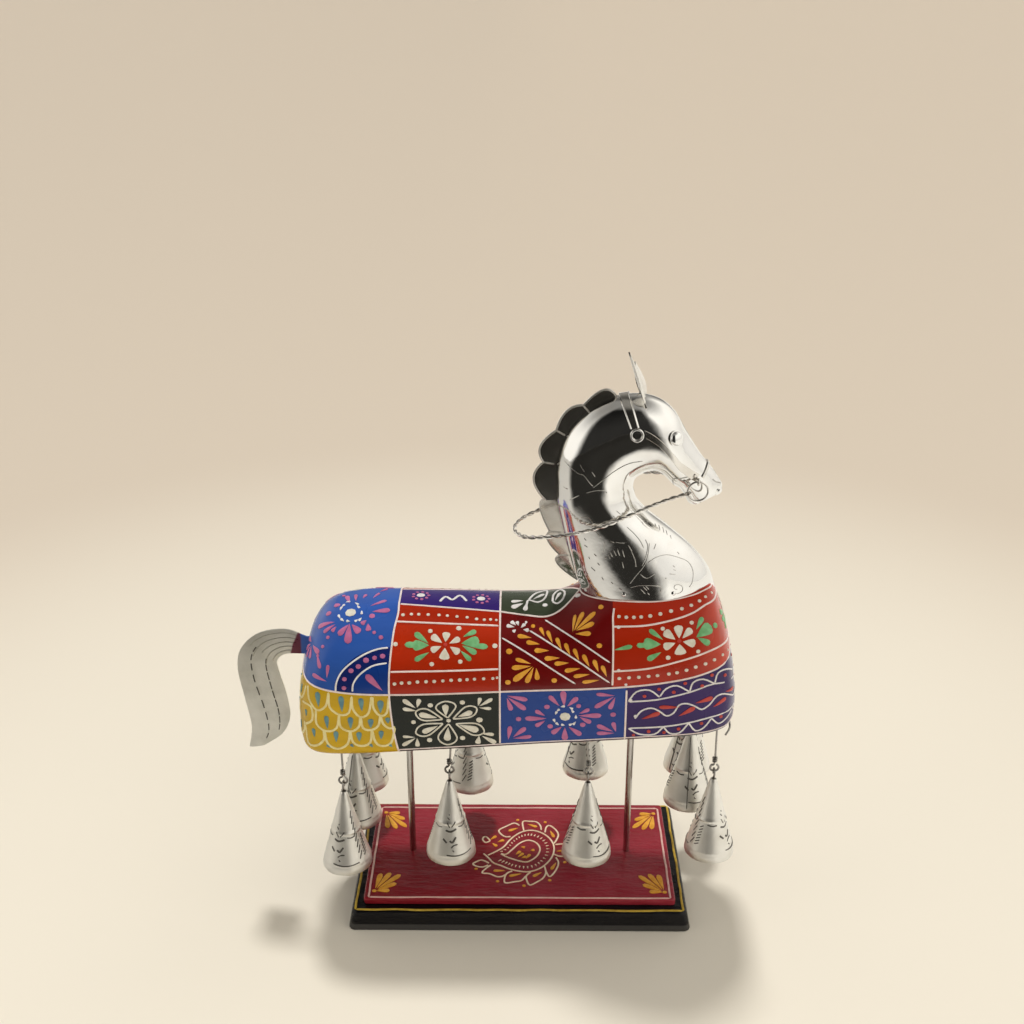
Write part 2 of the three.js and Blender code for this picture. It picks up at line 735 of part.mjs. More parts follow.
// The bit ring hangs in a lug on the end of the cheek strap, clear of the muzzle.
const lugRadius = 2 * WIRE_RADIUS + FIT + 0.1;
const bitY = skin(STRAP_LAST_ROW, 90, 1).y + FIT + lugRadius + WIRE_RADIUS;
const bitX = skin(BIT_ROW, BIT_ANGLE, 1).x;
const bitZ = skin(BIT_ROW, BIT_ANGLE, 1).z;
for (const [label, side] of sides) {
  const bit = at(bitX, side * bitY, bitZ);
  const lugCentre = at(bitX, side * bitY, bitZ + BIT_RADIUS);
  const lug = ring(lugRadius, WIRE_RADIUS, at(1, 0, 0), lugCentre, 10);
  const tongue = wire(
    [
      skin(STRAP_LAST_ROW - 0.35, STRAP_ANGLE, side, FIT + WIRE_RADIUS),
      at(bitX, side * (bitY - lugRadius), bitZ + BIT_RADIUS),
    ],
    WIRE_RADIUS,
    1,
  );
  const cheek = strap(strapRows, strapEdges, side, 6, 2);
  piece(`cheek_strap_${label}`, join([cheek, tongue, lug]), NICKEL);
  const cheekCentre = skin(CHEEK_ROW, STRAP_ANGLE, side, FIT + WIRE_RADIUS);
  const cheekAxis = skinNormal(CHEEK_ROW, STRAP_ANGLE, side);
  piece(`cheek_ring_${label}`, ring(CHEEK_RADIUS, WIRE_RADIUS, cheekAxis, cheekCentre, 12), NICKEL);
  piece(`bit_ring_${label}`, ring(BIT_RADIUS, WIRE_RADIUS, at(0, 1, 0), bit, 20), STEEL);
}

// Rein: one stiff loop round the neck, with an eye at each end that rides on a bit ring.
const slope = radians(REIN_SLOPE);
const towardsRein = at(-Math.cos(slope), 0, -Math.sin(slope));
function reinEnd(side, reach) {
  return at(bitX, side * bitY, bitZ).addScaledVector(towardsRein, reach);
}
const strand = (side) => {
  const bends = REIN_POINTS.map(([back, out, up, higher]) => {
    return at(bitX - back, side * (bitY + out), bitZ + up + (side > 0 ? higher : 0));
  });
  return [reinEnd(side, BIT_RADIUS + lugRadius + REIN_RADIUS / 4), ...bends];
};
const reinTip = at(bitX - REIN_REACH, 0, bitZ + REIN_DROP);
const reinPath = [...strand(1), reinTip, ...strand(-1).reverse()];
const reinEyes = [1, -1].map((side) => {
  const axis = at(towardsRein.z, 0, -towardsRein.x);
  return ring(lugRadius, WIRE_RADIUS, axis, reinEnd(side, BIT_RADIUS), 10);
});
piece("rein", join([wire(reinPath, REIN_RADIUS, 36), ...reinEyes]), STEEL);

// Bells

// A wire eye at the end of a straight stem. The stem runs along Z from its far end to the eye.
function eyeWire(radius, stemEnd, plane) {
  const way = Math.sign(stemEnd);
  const points = [
    [0, stemEnd],
    [0, stemEnd * 0.5 + way * radius],
    [0, way * (radius + 2 * WIRE_RADIUS + FIT)],
  ];
  const turns = 9;
  for (let j = 0; j <= turns; j += 1) {
    const angle = radians(135 + (j / turns) * 285);
    points.push([radius * Math.cos(angle), way * radius * Math.sin(angle)]);
  }
  const path = points.map(([across, z]) => {
    return plane === "XZ" ? at(across, 0, z) : at(0, across, z);
  });
  const length = new THREE.CatmullRomCurve3(path).getLength();
  return wire(path, WIRE_RADIUS, Math.round(length / EYE_PITCH));
}

// The cone's wall, out from the crown's hole to the mouth and back inside.
function bellCone() {
  const hole = WIRE_RADIUS + FIT;
  const shoulder = BELL_HEIGHT - BELL_CROWN_HEIGHT;
  const profile = [
    [hole, BELL_HEIGHT],
    [BELL_CROWN_RADIUS * 0.7, BELL_HEIGHT],
    [BELL_CROWN_RADIUS, shoulder],
    [BELL_RADIUS - BELL_RIM_FLARE, BELL_RIM_HEIGHT],
    [BELL_RADIUS, 0],
    [BELL_RADIUS - BELL_WALL, 0],
    [BELL_RADIUS - BELL_RIM_FLARE - BELL_WALL, BELL_RIM_HEIGHT],
    [BELL_CROWN_RADIUS - BELL_WALL, shoulder],
    [hole, BELL_HEIGHT - BELL_WALL],
    [hole, BELL_HEIGHT],
  ];
  const points = profile.reverse().map(([radius, height]) => new THREE.Vector2(radius, height));
  return new THREE.LatheGeometry(points, BELL_SIDES).rotateX(Math.PI / 2);
}

for (const bell of bellPlaces) {
  const shank = bell.belly + HOOK_IN_TORSO - bell.eye;
  const hook = eyeWire(HOOK_RADIUS, shank, "XZ").translate(bell.x, bell.y, bell.eye);
  piece(`hook_${bell.name}`, hook, STEEL);
  const beadDrop = BELL_WALL + FIT + BEAD_RADIUS + BELL_CROWN_HEIGHT;
  const stem = -(crownDrop - linkDrop + beadDrop);
  const bead = new THREE.OctahedronGeometry(BEAD_RADIUS, 1).translate(0, 0, stem);
  const link = join([eyeWire(LINK_RADIUS, stem, "YZ"), bead]);
  piece(`link_${bell.name}`, link.translate(bell.x, bell.y, bell.eye - linkDrop), STEEL);
  const cone = bellCone().translate(bell.x, bell.y, bell.crown - BELL_HEIGHT);
  piece(`bell_${bell.name}`, cone, NICKEL);
}

export default horse;
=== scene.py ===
import math
import bmesh
import bpy
from mathutils import Euler, Matrix, Vector, noise
from mathutils.bvhtree import BVHTree


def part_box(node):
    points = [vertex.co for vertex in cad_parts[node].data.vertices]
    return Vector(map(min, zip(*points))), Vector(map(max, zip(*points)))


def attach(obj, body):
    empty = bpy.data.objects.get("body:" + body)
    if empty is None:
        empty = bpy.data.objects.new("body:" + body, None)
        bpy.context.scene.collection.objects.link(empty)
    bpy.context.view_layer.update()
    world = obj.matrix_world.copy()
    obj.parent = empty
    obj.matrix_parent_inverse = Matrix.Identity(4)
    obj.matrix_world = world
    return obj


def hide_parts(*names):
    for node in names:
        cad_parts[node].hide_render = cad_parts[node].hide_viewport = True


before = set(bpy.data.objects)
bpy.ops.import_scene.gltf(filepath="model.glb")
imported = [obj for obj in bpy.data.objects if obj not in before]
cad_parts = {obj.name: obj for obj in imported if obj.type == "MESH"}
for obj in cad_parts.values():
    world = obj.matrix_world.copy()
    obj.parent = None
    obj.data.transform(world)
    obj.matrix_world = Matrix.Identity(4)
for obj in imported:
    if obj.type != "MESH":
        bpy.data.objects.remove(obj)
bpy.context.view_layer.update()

# Plinth: the lower board of the stand. It is a planed plank with flared sides, brushed with thick
# black lacquer that dried in glossy ridges, and it lies flat on the table.
MM = 0.001


class Shade:
    def __init__(self, tree, socket):
        self.tree, self.socket = tree, socket

    def node(self, kind, settings, inputs, out=0):
        made = self.tree.nodes.new("ShaderNode" + kind)
        for name, value in settings.items():
            setattr(made, name, value)
        feed(self.tree, made, inputs)
        return Shade(self.tree, made.outputs[out])

    def math(self, operation, *others):
        return self.node("Math", {"operation": operation}, dict(enumerate((self, *others))))

    def __add__(self, other):
        return self.math("ADD", other)

    def __sub__(self, other):
        return self.math("SUBTRACT", other)

    def __rsub__(self, other):
        return self.node("Math", {"operation": "SUBTRACT"}, {0: other, 1: self})

    def __mul__(self, other):
        return self.math("MULTIPLY", other)

    def __truediv__(self, other):
        return self.math("DIVIDE", other)

    def __lt__(self, other):
        return self.math("LESS_THAN", other)

    def __gt__(self, other):
        return self.math("GREATER_THAN", other)

    def __abs__(self):
        return self.math("ABSOLUTE")

    __radd__ = __add__
    __rmul__ = __mul__

    def axes(self):
        split = self.node("SeparateXYZ", {}, {0: self}).socket.node
        return [Shade(self.tree, part) for part in split.outputs]

    def between(self, low, high):
        settings = {"interpolation_type": "SMOOTHSTEP"}
        return self.node("MapRange", settings, {"Value": self, "From Min": low, "From Max": high})

    def pick(self, none, full):
        colours = [c if isinstance(c, Shade) else (*c, 1) for c in (none, full)]
        inputs = {0: self, 6: colours[0], 7: colours[1]}
        return self.node("Mix", {"data_type": "RGBA"}, inputs, out=2)

    def grain(self, scale, detail=3, stretch=(1, 1, 1), rough=0.55):
        spread = self.node("Mapping", {}, {"Vector": self, "Scale": stretch})
        inputs = {"Vector": spread, "Scale": scale, "Detail": detail, "Roughness": rough}
        return self.node("TexNoise", {}, inputs)

    def relief(self, depth):
        return self.node("Bump", {}, {"Height": self, "Distance": depth})


def feed(tree, node, inputs):
    for key, value in inputs.items():
        if isinstance(value, Shade):
            tree.links.new(value.socket, node.inputs[key])
        else:
            node.inputs[key].default_value = value


def finish(name):
    material = bpy.data.materials.new(name)
    material.use_nodes = True
    tree = material.node_tree
    place = Shade(tree, tree.nodes.new("ShaderNodeTexCoord").outputs["Object"])
    return material, place


def coat(material, inputs):
    feed(material.node_tree, material.node_tree.nodes["Principled BSDF"], inputs)


def placed(name, bm, material):
    mesh = bpy.data.meshes.new(name)
    bm.to_mesh(mesh)
    bm.free()
    mesh.materials.append(material)
    made = bpy.data.objects.new(name, mesh)
    bpy.context.collection.objects.link(made)
    return made


def piece(name, bm, material, body="root", nodes=()):
    bm.normal_update()
    bmesh.ops.recalc_face_normals(bm, faces=bm.faces)
    made = placed(name, bm, material)
    made.data.shade_smooth()
    made.data.set_sharp_from_angle(angle=math.radians(40))
    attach(made, body)
    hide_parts(*nodes)


def at(x, y, z):
    return Vector((x, y, z)) * MM


def soften(bm, edges, offset, segments):
    bmesh.ops.bevel(
        bm, geom=edges, offset=offset * MM, affect="EDGES", segments=segments, profile=0.5,
        material=-1,
    )


def board(length, depth, low, high, flare, corner, edge):
    bm = bmesh.new()
    bmesh.ops.create_cube(bm, size=1)
    bmesh.ops.scale(bm, vec=at(length, depth, high - low), verts=bm.verts)
    bmesh.ops.translate(bm, vec=(0, 0, (low + high) / 2 * MM), verts=bm.verts)
    top = [v for v in bm.verts if v.co.z > (low + high) / 2 * MM]
    narrowed = (1 - 2 * flare / length, 1 - 2 * flare / depth, 1)
    bmesh.ops.scale(bm, vec=narrowed, verts=top)
    soften(bm, [e for e in bm.edges if abs(e.verts[0].co.z - e.verts[1].co.z) > MM], corner, 6)
    soften(bm, [e for e in bm.edges if abs(e.verts[0].co.z - e.verts[1].co.z) < MM / 10], edge, 4)
    return bm


def brushed_lacquer(name, ground, streak_and_sheen, ridge, shine, painted_floor_reflection=None):
    material, place = finish(name)
    ridges = place.grain(420, 4, (0.2, 1, 1), 0.6)
    lumps = place.grain(90, 3, (0.6, 1, 1))
    # The second colour, mixed in by a noise, gives lighter streaks that are partly brush marks and
    # partly a painted sheen.
    colour = place.grain(14, 4).between(0.35, 0.75).pick(ground, streak_and_sheen)
    # The lowest few millimetres of the board are painted a lighter grey: a painted reflection of
    # the floor.
    if painted_floor_reflection:
        colour = place.axes()[2].between(0.0036, 0.0046).pick(painted_floor_reflection, colour)
    coat(material, {
        "Base Color": colour,
        "Roughness": ridges * 0.25 + 0.08,
        "Normal": (ridges + lumps * 2.5).relief(ridge),
        "Specular IOR Level": shine,
        "Coat Weight": 0.15,
        "Coat Roughness": 0.1,
    })
    return material


PLINTH_TOP = 12.5
# The black board's lowest strip is painted lighter grey as a painted reflection of the floor.
black_lacquer = brushed_lacquer(
    "black_lacquer", (0.004, 0.0035, 0.004), (0.009, 0.008, 0.009), 0.0008, 0.14,
    painted_floor_reflection=(0.05, 0.047, 0.043),
)
plinth = board(200, 109, 0, PLINTH_TOP, 2.5, 4, 1.2)
piece("plinth_board", plinth, black_lacquer, nodes=["base_plinth"])


# Yellow line: a thin bead of enamel squeezed from a cone along the plinth's top edge. Every bead of
# paint on the stand and the torso is a flat drop whose lower half sinks into the ground coat.
def laid(bm, steps, sides, place):
    made = bmesh.ops.create_uvsphere(bm, u_segments=sides, v_segments=steps, radius=1)
    for vert in made["verts"]:
        k = round(math.acos(max(-1, min(1, -vert.co.z))) / math.pi * steps)
        vert.co = place(k, vert.co.xy.normalized() if 0 < k < steps else Vector((0, 0)))


def bead(bm, guide, widths, surface, height):
    steps = len(guide) - 1
    seats = [surface(point) for point in guide]

    def place(k, ring):
        spot, normal = seats[k]
        ahead = seats[min(k + 1, steps)][0] - seats[max(k - 1, 0)][0]
        across = normal.cross(ahead).normalized()
        spot, lean = surface(spot + across * ring.x * widths[k] * MM)
        return spot + lean * ring.y * height * MM

    laid(bm, steps, 6, place)


def between_rows(rows, t):
    i = max(0, min(len(rows) - 2, math.floor(t)))
    b, c = Vector(rows[i]), Vector(rows[i + 1])
    a = Vector(rows[i - 1]) if i else 2 * b - c
    d = Vector(rows[i + 2]) if i + 2 < len(rows) else 2 * c - b
    t -= i
    return (
        b * (2 * t**3 - 3 * t**2 + 1) + (c - a) * ((t**3 - 2 * t**2 + t) / 2)
        + c * (3 * t**2 - 2 * t**3) + (d - b) * ((t**3 - t**2) / 2)
    )


def smooth_path(points, fine=4):
    return [between_rows(points, s / fine) for s in range((len(points) - 1) * fine + 1)]


def capped(places, share=0.02):
    first, last = places[0].lerp(places[1], share), places[-1].lerp(places[-2], share)
    return [places[0], first, *places[1:-1], last, places[-1]]


def line(bm, points, width, surface, height=0.45, fine=4):
    path = capped(smooth_path(points, fine), 0.25)
    bead(bm, path, [width] * len(path), surface, height)


def drop(bm, thin, thick, width, surface, height=0.5):
    path = [thin.lerp(thick, s) for s in (0, 0.2, 0.42, 0.62, 0.8, 0.93, 1)]
    bead(bm, path, [width * s for s in (0, 0.34, 0.66, 0.9, 1, 0.72, 0)], surface, height)


def dot(bm, middle, radius, surface, along=Vector((1, 0, 0)), height=0.5):
    path = [middle + along * radius * MM * s for s in (-1, -0.72, 0, 0.72, 1)]
    bead(bm, path, [radius * s for s in (0, 0.7, 1, 0.7, 0)], surface, height)


def enamel(name, colour, shadow):
    material, place = finish(name)
    tone = place.grain(260, 3)
    coat(material, {
        "Base Color": tone.between(0.3, 0.7).pick(shadow, colour),
        "Roughness": tone * 0.25 + 0.25,
        "Normal": place.grain(900, 2).relief(0.0001),
    })
    return material


def level(height):
    return lambda point: (Vector((point.x, point.y, height * MM)), Vector((0, 0, 1)))


def flat(x, y):
    return at(x, y, 0)


def frame_line(bm, half_length, front, back, width, surface, wander):
    corners = [flat(x, y) for y in (-front, back) for x in (-half_length, half_length)]
    corners[2:] = corners[:1:-1]
    for start, end in zip(corners, corners[1:] + corners[:1]):
        path = [start.lerp(end, s / 16) for s in range(17)]
        for point in path[1:-1]:
            sway = point * 90
            point += flat(noise.noise(sway), noise.noise(sway + Vector((7.3, 3.1, 0.5)))) * wander
        line(bm, path, width, surface, fine=2)


yellow_enamel = enamel("yellow_enamel", (0.6, 0.41, 0.05), (0.43, 0.27, 0.03))
edge_line = bmesh.new()
frame_line(edge_line, 95.6, 50.6, 50.6, 0.75, level(PLINTH_TOP), 0.7)
piece("plinth_line", edge_line, yellow_enamel)


# Plaque: the upper board, glued on the plinth and lacquered dark red with a dry brush, so that the
# streaks stand up and catch the light.
PLAQUE_TOP = 16.75
# Both reds hold a little added blue and green as a painted sheen, and the lighter streak red is
# partly a painted highlight.
red_lacquer = brushed_lacquer(
    "red_lacquer", (0.225, 0.01, 0.017), (0.32, 0.026, 0.042), 0.0007, 0.32
)
plaque = board(182.5, 92.6, PLINTH_TOP, PLAQUE_TOP, 0, 2, 0.8)
piece("plaque_board", plaque, red_lacquer, nodes=["base_plaque"])


# Plaque ornament: a pale border line, a spray of strokes in each corner and a paisley in the middle
# with outlined petals round it, all in raised enamel squeezed from a cone.
on_plaque = level(PLAQUE_TOP)
pale_enamel = enamel("pale_enamel", (0.88, 0.77, 0.72), (0.78, 0.64, 0.58))
rose_enamel = enamel("rose_enamel", (0.78, 0.5, 0.43), (0.68, 0.39, 0.33))
border = bmesh.new()
frame_line(border, 88.4, 44.9, 42, 0.65, on_plaque, 0.4)
piece("plaque_border", border, rose_enamel)

amber_enamel = enamel("amber_enamel", (0.84, 0.42, 0.05), (0.7, 0.3, 0.026))
sprays = bmesh.new()
SPRAY_FOOT = (85.5, 39.5)
SPRAY_TIPS = [(76.5, 39), (73, 32.5), (71.2, 24.5), (77.3, 22.8), (83, 23.5)]
for sx in (-1, 1):
    for sy in (-1, 1):
        inset = flat(0, 3 if sy > 0 else 0)
        foot = flat(SPRAY_FOOT[0] * sx, SPRAY_FOOT[1] * sy) - inset
        dot(sprays, foot, 1.4, on_plaque)
        for x, y in SPRAY_TIPS:
            tip = flat(x * sx, y * sy) - inset
            drop(sprays, foot.lerp(tip, 0.12), tip, 1.9, on_plaque)
# Strokes inside the petals, then those in the paisley's heart, then the loose ones on the left.
STROKES = [
    (-0.7, 21.3, -7.1, 17.9), (4.9, 25.1, 11.1, 22.1), (19.1, 18.8, 21.5, 11.8),
    (22.6, -1.9, 28.9, -1.1), (22.4, -12.4, 19.1, -19.4), (13.5, -21.8, 8, -25.9),
    (1.4, -23.2, -6.3, -25.7), (-8.5, -20.6, -15.8, -20.6), (-2.4, -5.3, 0.7, -2),
    (-1, -7.7, 2.5, -3.8), (1.2, -8.4, 4.3, -7), (3.9, -9.1, 6.6, -4.8), (1, 2.2, 3.4, 1.5),
    (6.6, -1.3, 9.3, -0.6), (-18.4, 9, -14.4, 13), (-13.8, 6.8, -9.5, 9), (-17, 5.7, -13.8, 2.5),
]
for x1, y1, x2, y2 in STROKES:
    drop(sprays, flat(x1, y1), flat(x2, y2), 1.2, on_plaque)
PETAL_DOTS = [
    (-1.2, 29.2), (16.2, 27.1), (27.5, -12.4), (18, -29.2), (2.7, -34.3), (-13, -30.4),
    (-26.2, -19),
]
for x, y in PETAL_DOTS:
    dot(sprays, flat(x, y), 1.1, on_plaque)
piece("plaque_sprays", sprays, amber_enamel)

cream_enamel = enamel("cream_enamel", (0.78, 0.75, 0.64), (0.66, 0.61, 0.49))
tan_enamel = enamel("tan_enamel", (0.93, 0.76, 0.55), (0.84, 0.62, 0.4))
paisley = bmesh.new()
PAISLEY = [
    (-19.4, -6.1), (-14.6, -2.5), (-9.7, 2.2), (-6.6, 8), (-3, 13.1), (1.2, 16.9), (6.2, 18.7),
    (11.3, 17.7), (16.3, 14), (19.9, 8.2), (21.3, 1), (20, -6.9), (16.3, -13.9), (11.8, -18.7),
    (5.6, -21.5), (-0.6, -20.9), (-6.3, -18.9), (-10.8, -16.1), (-15.7, -13.4), (-18.9, -8.6),
    (-22.2, -4.3),
]
HEART = [
    (-11.4, -4.6), (-8.2, -5), (-4.7, -0.7), (-1.1, 4.4), (2.5, 7.7), (6.2, 8.7), (10.3, 6.3),
    (12.6, 0.9), (11.5, -4.8), (8.8, -9), (4.8, -12.2), (1.2, -11.9), (-3.7, -9.8), (-8.2, -7.4),
    (-11.4, -4.6),
]
PETALS = [
    [(0, 23.6), (-3.5, 26), (-8.6, 22.6), (-13, 18.6), (-11.2, 14.2), (-8.4, 12), (-5.5, 12.4)],
    [(2.6, 18.3), (2, 27.4), (6.3, 27.9), (10.5, 27.4), (13, 23.7), (13.7, 19)],
    [(15.9, 16.6), (16.8, 22), (19.1, 23.6), (22.8, 19.2), (24.2, 14.1), (22.8, 8.9), (21.3, 5.6)],
    [(22, 4.6), (27.1, 5.1), (29.8, 2.5), (30.1, -1.8), (29, -6.1), (24.5, -6.7), (21, -4.7)],
    [(22.1, -7.9), (23.6, -12.4), (22.4, -18.7), (18.5, -25.8), (16.3, -22.5), (15.2, -16.3)],
    [(15.4, -18), (15.8, -22.8), (13.9, -27.5), (10.4, -30.9), (6.2, -33.7), (4.4, -29.6),
     (4.1, -25.3), (6.7, -21.8)],
    [(3.9, -25.3), (1.2, -29.6), (-2.7, -30.7), (-8.5, -31.7), (-8.7, -26.4), (-7.4, -23),
     (-4.3, -20.8)],
    [(-8.4, -24.3), (-10.6, -26), (-13.7, -26.1), (-18.2, -23.4), (-22.5, -22.7), (-20, -18.3),
     (-17.4, -15.5)],
    [(-18.4, -13.6), (-22.9, -10.8), (-26.4, -12.5), (-28.2, -14.5), (-25.9, -16.6), (-22.3, -17.3),
     (-18.8, -15.4)],
    [(-18.2, 7.9), (-20.3, 11.5), (-22.1, 11.9), (-23, 9.3), (-21.1, 6.4), (-18.2, 7.9)],
]
for points in [PAISLEY, HEART, *PETALS]:
    line(paisley, [flat(*p) for p in points], 0.55, on_plaque)
heart_middle = flat(2.5, -1.5)
for point in smooth_path([flat(*p) for p in PAISLEY[1:-2]], 2):
    ends = [point.lerp(heart_middle, share) for share in (0.14, 0.26)]
    drop(paisley, *ends, 0.5, on_plaque, 0.35)
piece("plaque_paisley", paisley, tan_enamel)


# Rods: two straight bars of drawn steel, plated. They are driven through the plaque into the plinth
# and up into blind holes in the torso, which they carry.
def worn_metal(name, bright, dull, rough, stretch=(1, 1, 1), dents=0.0, spread=0.18):
    material, place = finish(name)
    streaks = place.grain(170, 4, stretch)
    stains = place.grain(38, 4)
    coat(material, {
        "Base Color": stains.between(0.4, 0.8).pick(bright, dull),
        "Metallic": 1.0,
        "Roughness": streaks * spread + rough,
        "Normal": (streaks * 0.1 + stains).relief(0.00005 + dents),
    })
    return material


plated_steel = worn_metal("plated_steel", (0.6, 0.57, 0.53), (0.4, 0.34, 0.29), 0.1, (1, 1, 0.05))
ROD_RADIUS = 2
for name in ("rod_rear", "rod_front"):
    low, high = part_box(name)
    rod = bmesh.new()
    bmesh.ops.create_cone(
        rod, cap_ends=True, segments=32, radius1=ROD_RADIUS * MM, radius2=ROD_RADIUS * MM,
        depth=high.z - low.z,
    )
    soften(rod, [e for e in rod.edges if e.calc_face_angle() > 1], 0.4, 3)
    bmesh.ops.translate(rod, vec=(low + high) / 2, verts=rod.verts)
    piece(name + "_bar", rod, plated_steel, nodes=[name])


# Torso: one block of carved wood, sanded round at both ends and cut level where the neck stands. It
# is painted in blocks of glossy colour, upper and lower row, with the underside left black.
TORSO_REAR, TORSO_LENGTH, TORSO_HALF, TORSO_HEIGHT = -125.2, 246.4, 38.5, 85
BELLY_REAR, BELLY_FRONT, BELLY_EDGE = 107, 123.5, 6
SEAT_X, SEAT_Z, SEAT_RISE = 71.25, 198.97, 0.075
# Along the torso, half width, underside above the belly line and top above the belly's rear end,
# as shares of the torso's length, half width and height.
TORSO_ROWS = [
    (0, 0.46, 0.1, 0.38), (0.004, 0.61, 0.055, 0.51), (0.014, 0.75, 0.02, 0.64),
    (0.032, 0.865, 0.005, 0.8), (0.06, 0.94, 0, 0.915), (0.1, 0.98, 0, 0.975), (0.156, 1, 0, 1),
    (0.228, 1, 0, 1.005), (0.368, 1, 0, 0.995), (0.508, 0.99, 0, 0.985), (0.588, 0.99, 0, 0.995),
    (0.64, 1, 0, 1.045), (0.692, 1, 0, 1.13), (0.756, 1, 0, 1.19), (0.836, 1, 0, 1.19),
    (0.892, 0.99, 0, 1.18), (0.932, 0.95, 0, 1.16), (0.96, 0.895, 0.005, 1.01),
    (0.98, 0.81, 0.01, 0.825), (0.994, 0.66, 0.03, 0.625), (1, 0.5, 0.06, 0.48),
]
END_SWELL = 0.7
# Shares of the way round from the keel to the ridge at which each part of a section ends.
UNDERSIDE, LOWER_EDGE, WALL = 0.14, 0.26, 0.45


def torso_point(t, turn):
    last = len(TORSO_ROWS) - 1
    share, wide, under, over = between_rows(TORSO_ROWS, max(0, min(last, t)))
    half = TORSO_HALF * wide
    low = BELLY_REAR + share * (BELLY_FRONT - BELLY_REAR) + under * TORSO_HEIGHT
    high = BELLY_REAR + over * TORSO_HEIGHT
    middle = (low + high) / 2
    edge = min(BELLY_EDGE, half / 3, (high - low) / 3)
    side = -1 if turn < 0.5 else 1
    climb = 1 - abs(1 - 2 * turn)
    if climb < UNDERSIDE:
        y, z = (half - edge) * climb / UNDERSIDE, low
    elif climb < LOWER_EDGE:
        angle = (climb - UNDERSIDE) / (LOWER_EDGE - UNDERSIDE) * math.pi / 2
        y, z = half - edge + edge * math.sin(angle), low + edge - edge * math.cos(angle)
    elif climb < WALL:
        y = half
        z = low + edge + (middle - low - edge) * (climb - LOWER_EDGE) / (WALL - LOWER_EDGE)
    else:
        angle = (climb - WALL) / (1 - WALL) * math.pi / 2
        y, z = half * math.cos(angle), middle + (high - middle) * math.sin(angle)
    past = max(-t, t - last, 0)
    shrink = math.cos(past * math.pi / 2)
    swell = END_SWELL * math.sin(past * math.pi / 2) * (1 if t > 0 else -1)
    x = TORSO_REAR + share * TORSO_LENGTH + swell
    return at(x, side * y * shrink, middle + (z - middle) * shrink)


def sheet_of(bm, columns, rows, place):
    made = bmesh.ops.create_grid(bm, x_segments=columns, y_segments=rows, size=1)
    for vert in made["verts"]:
        vert.co = place((vert.co.x + 1) / 2, (vert.co.y + 1) / 2)


def seat_at(x):
    return SEAT_Z + (x - SEAT_X + 38) * SEAT_RISE


torso = bmesh.new()
sheet_of(torso, 132, 100, lambda u, v: torso_point(u * 22 - 1, v))
bmesh.ops.remove_doubles(torso, verts=torso.verts, dist=1e-6)
level_cut = bmesh.ops.bisect_plane(
    torso, geom=torso.verts[:] + torso.edges[:] + torso.faces[:], plane_co=(0, 0, seat_at(0) * MM),
    plane_no=(-SEAT_RISE, 0, 1), clear_outer=True,
)
rim = [e for e in level_cut["geom_cut"] if isinstance(e, bmesh.types.BMEdge)]
bmesh.ops.contextual_create(torso, geom=rim)
bmesh.ops.recalc_face_normals(torso, faces=torso.faces)
torso_skin = BVHTree.FromBMesh(torso)

# Where the blocks of colour meet, in millimetres.
REAR_SEAM, REAR_BOW, REAR_BOW_AT = -72, 0.00275, 152
MIDDLE_SEAM, CHEST_SEAM_UP, CHEST_SEAM_LOW = -11.1, 50.6, 58.5
SIDE_SEAM = (152.979, 3.928, -0.621, 2.144, 5.224)
STRIP_FROM, STRIP_START, STRIP_SPREAD, STRIP_FULL = -66.5, 9, 0.0687, 12.8
STRIP_SWELL, STRIP_TAPER, STRIP_END = 0.15, 10, 33.5

painted_wood, place = finish("painted_wood")
fore, out, up = (part * 1000 for part in place.axes())
far = fore * 0.01
a, b, c, d, e = SIDE_SEAM
upper = up > a + far * (b + far * (c + far * (d + far * e)))
off_bow = up - REAR_BOW_AT
past_rear = fore > off_bow * off_bow * REAR_BOW + REAR_SEAM
past_middle = fore > MIDDLE_SEAM
past_chest = fore > upper * (CHEST_SEAM_UP - CHEST_SEAM_LOW) + CHEST_SEAM_LOW
widening = fore * STRIP_SPREAD + (STRIP_START - STRIP_FROM * STRIP_SPREAD)
narrowing = (fore - STRIP_TAPER).math("MAXIMUM", 0) * (1 / (STRIP_END - STRIP_TAPER))
swelling = (fore - MIDDLE_SEAM).math("MAXIMUM", 0) * STRIP_SWELL
strip = (widening.math("MINIMUM", STRIP_FULL) + swelling) * (1 - narrowing * narrowing)
on_top = abs(out) < strip
corner_x, corner_z = (fore - REAR_SEAM) * (1 / 30), (up - REAR_BOW_AT) * (1 / 24)
from_corner = corner_x * corner_x + corner_z * corner_z
sky, navy, royal = (0.028, 0.096, 0.385), (0.006, 0.018, 0.135), (0.005, 0.042, 0.25)
rump = (from_corner < 1).pick(sky, (from_corner < 0.45).pick(navy, royal))
orange, dark_orange = (0.47, 0.025, 0.002), (0.4, 0.02, 0.002)
BAND_MIDDLE, BAND_HALF = 175.2, 9.8
bands = abs(up - BAND_MIDDLE) > BAND_HALF
saddle = on_top.pick(bands.pick(orange, dark_orange), (0.034, 0.014, 0.148))
withers = on_top.pick((0.14, 0.003, 0.003), (0.042, 0.054, 0.03))
back = past_middle.pick(saddle, withers)
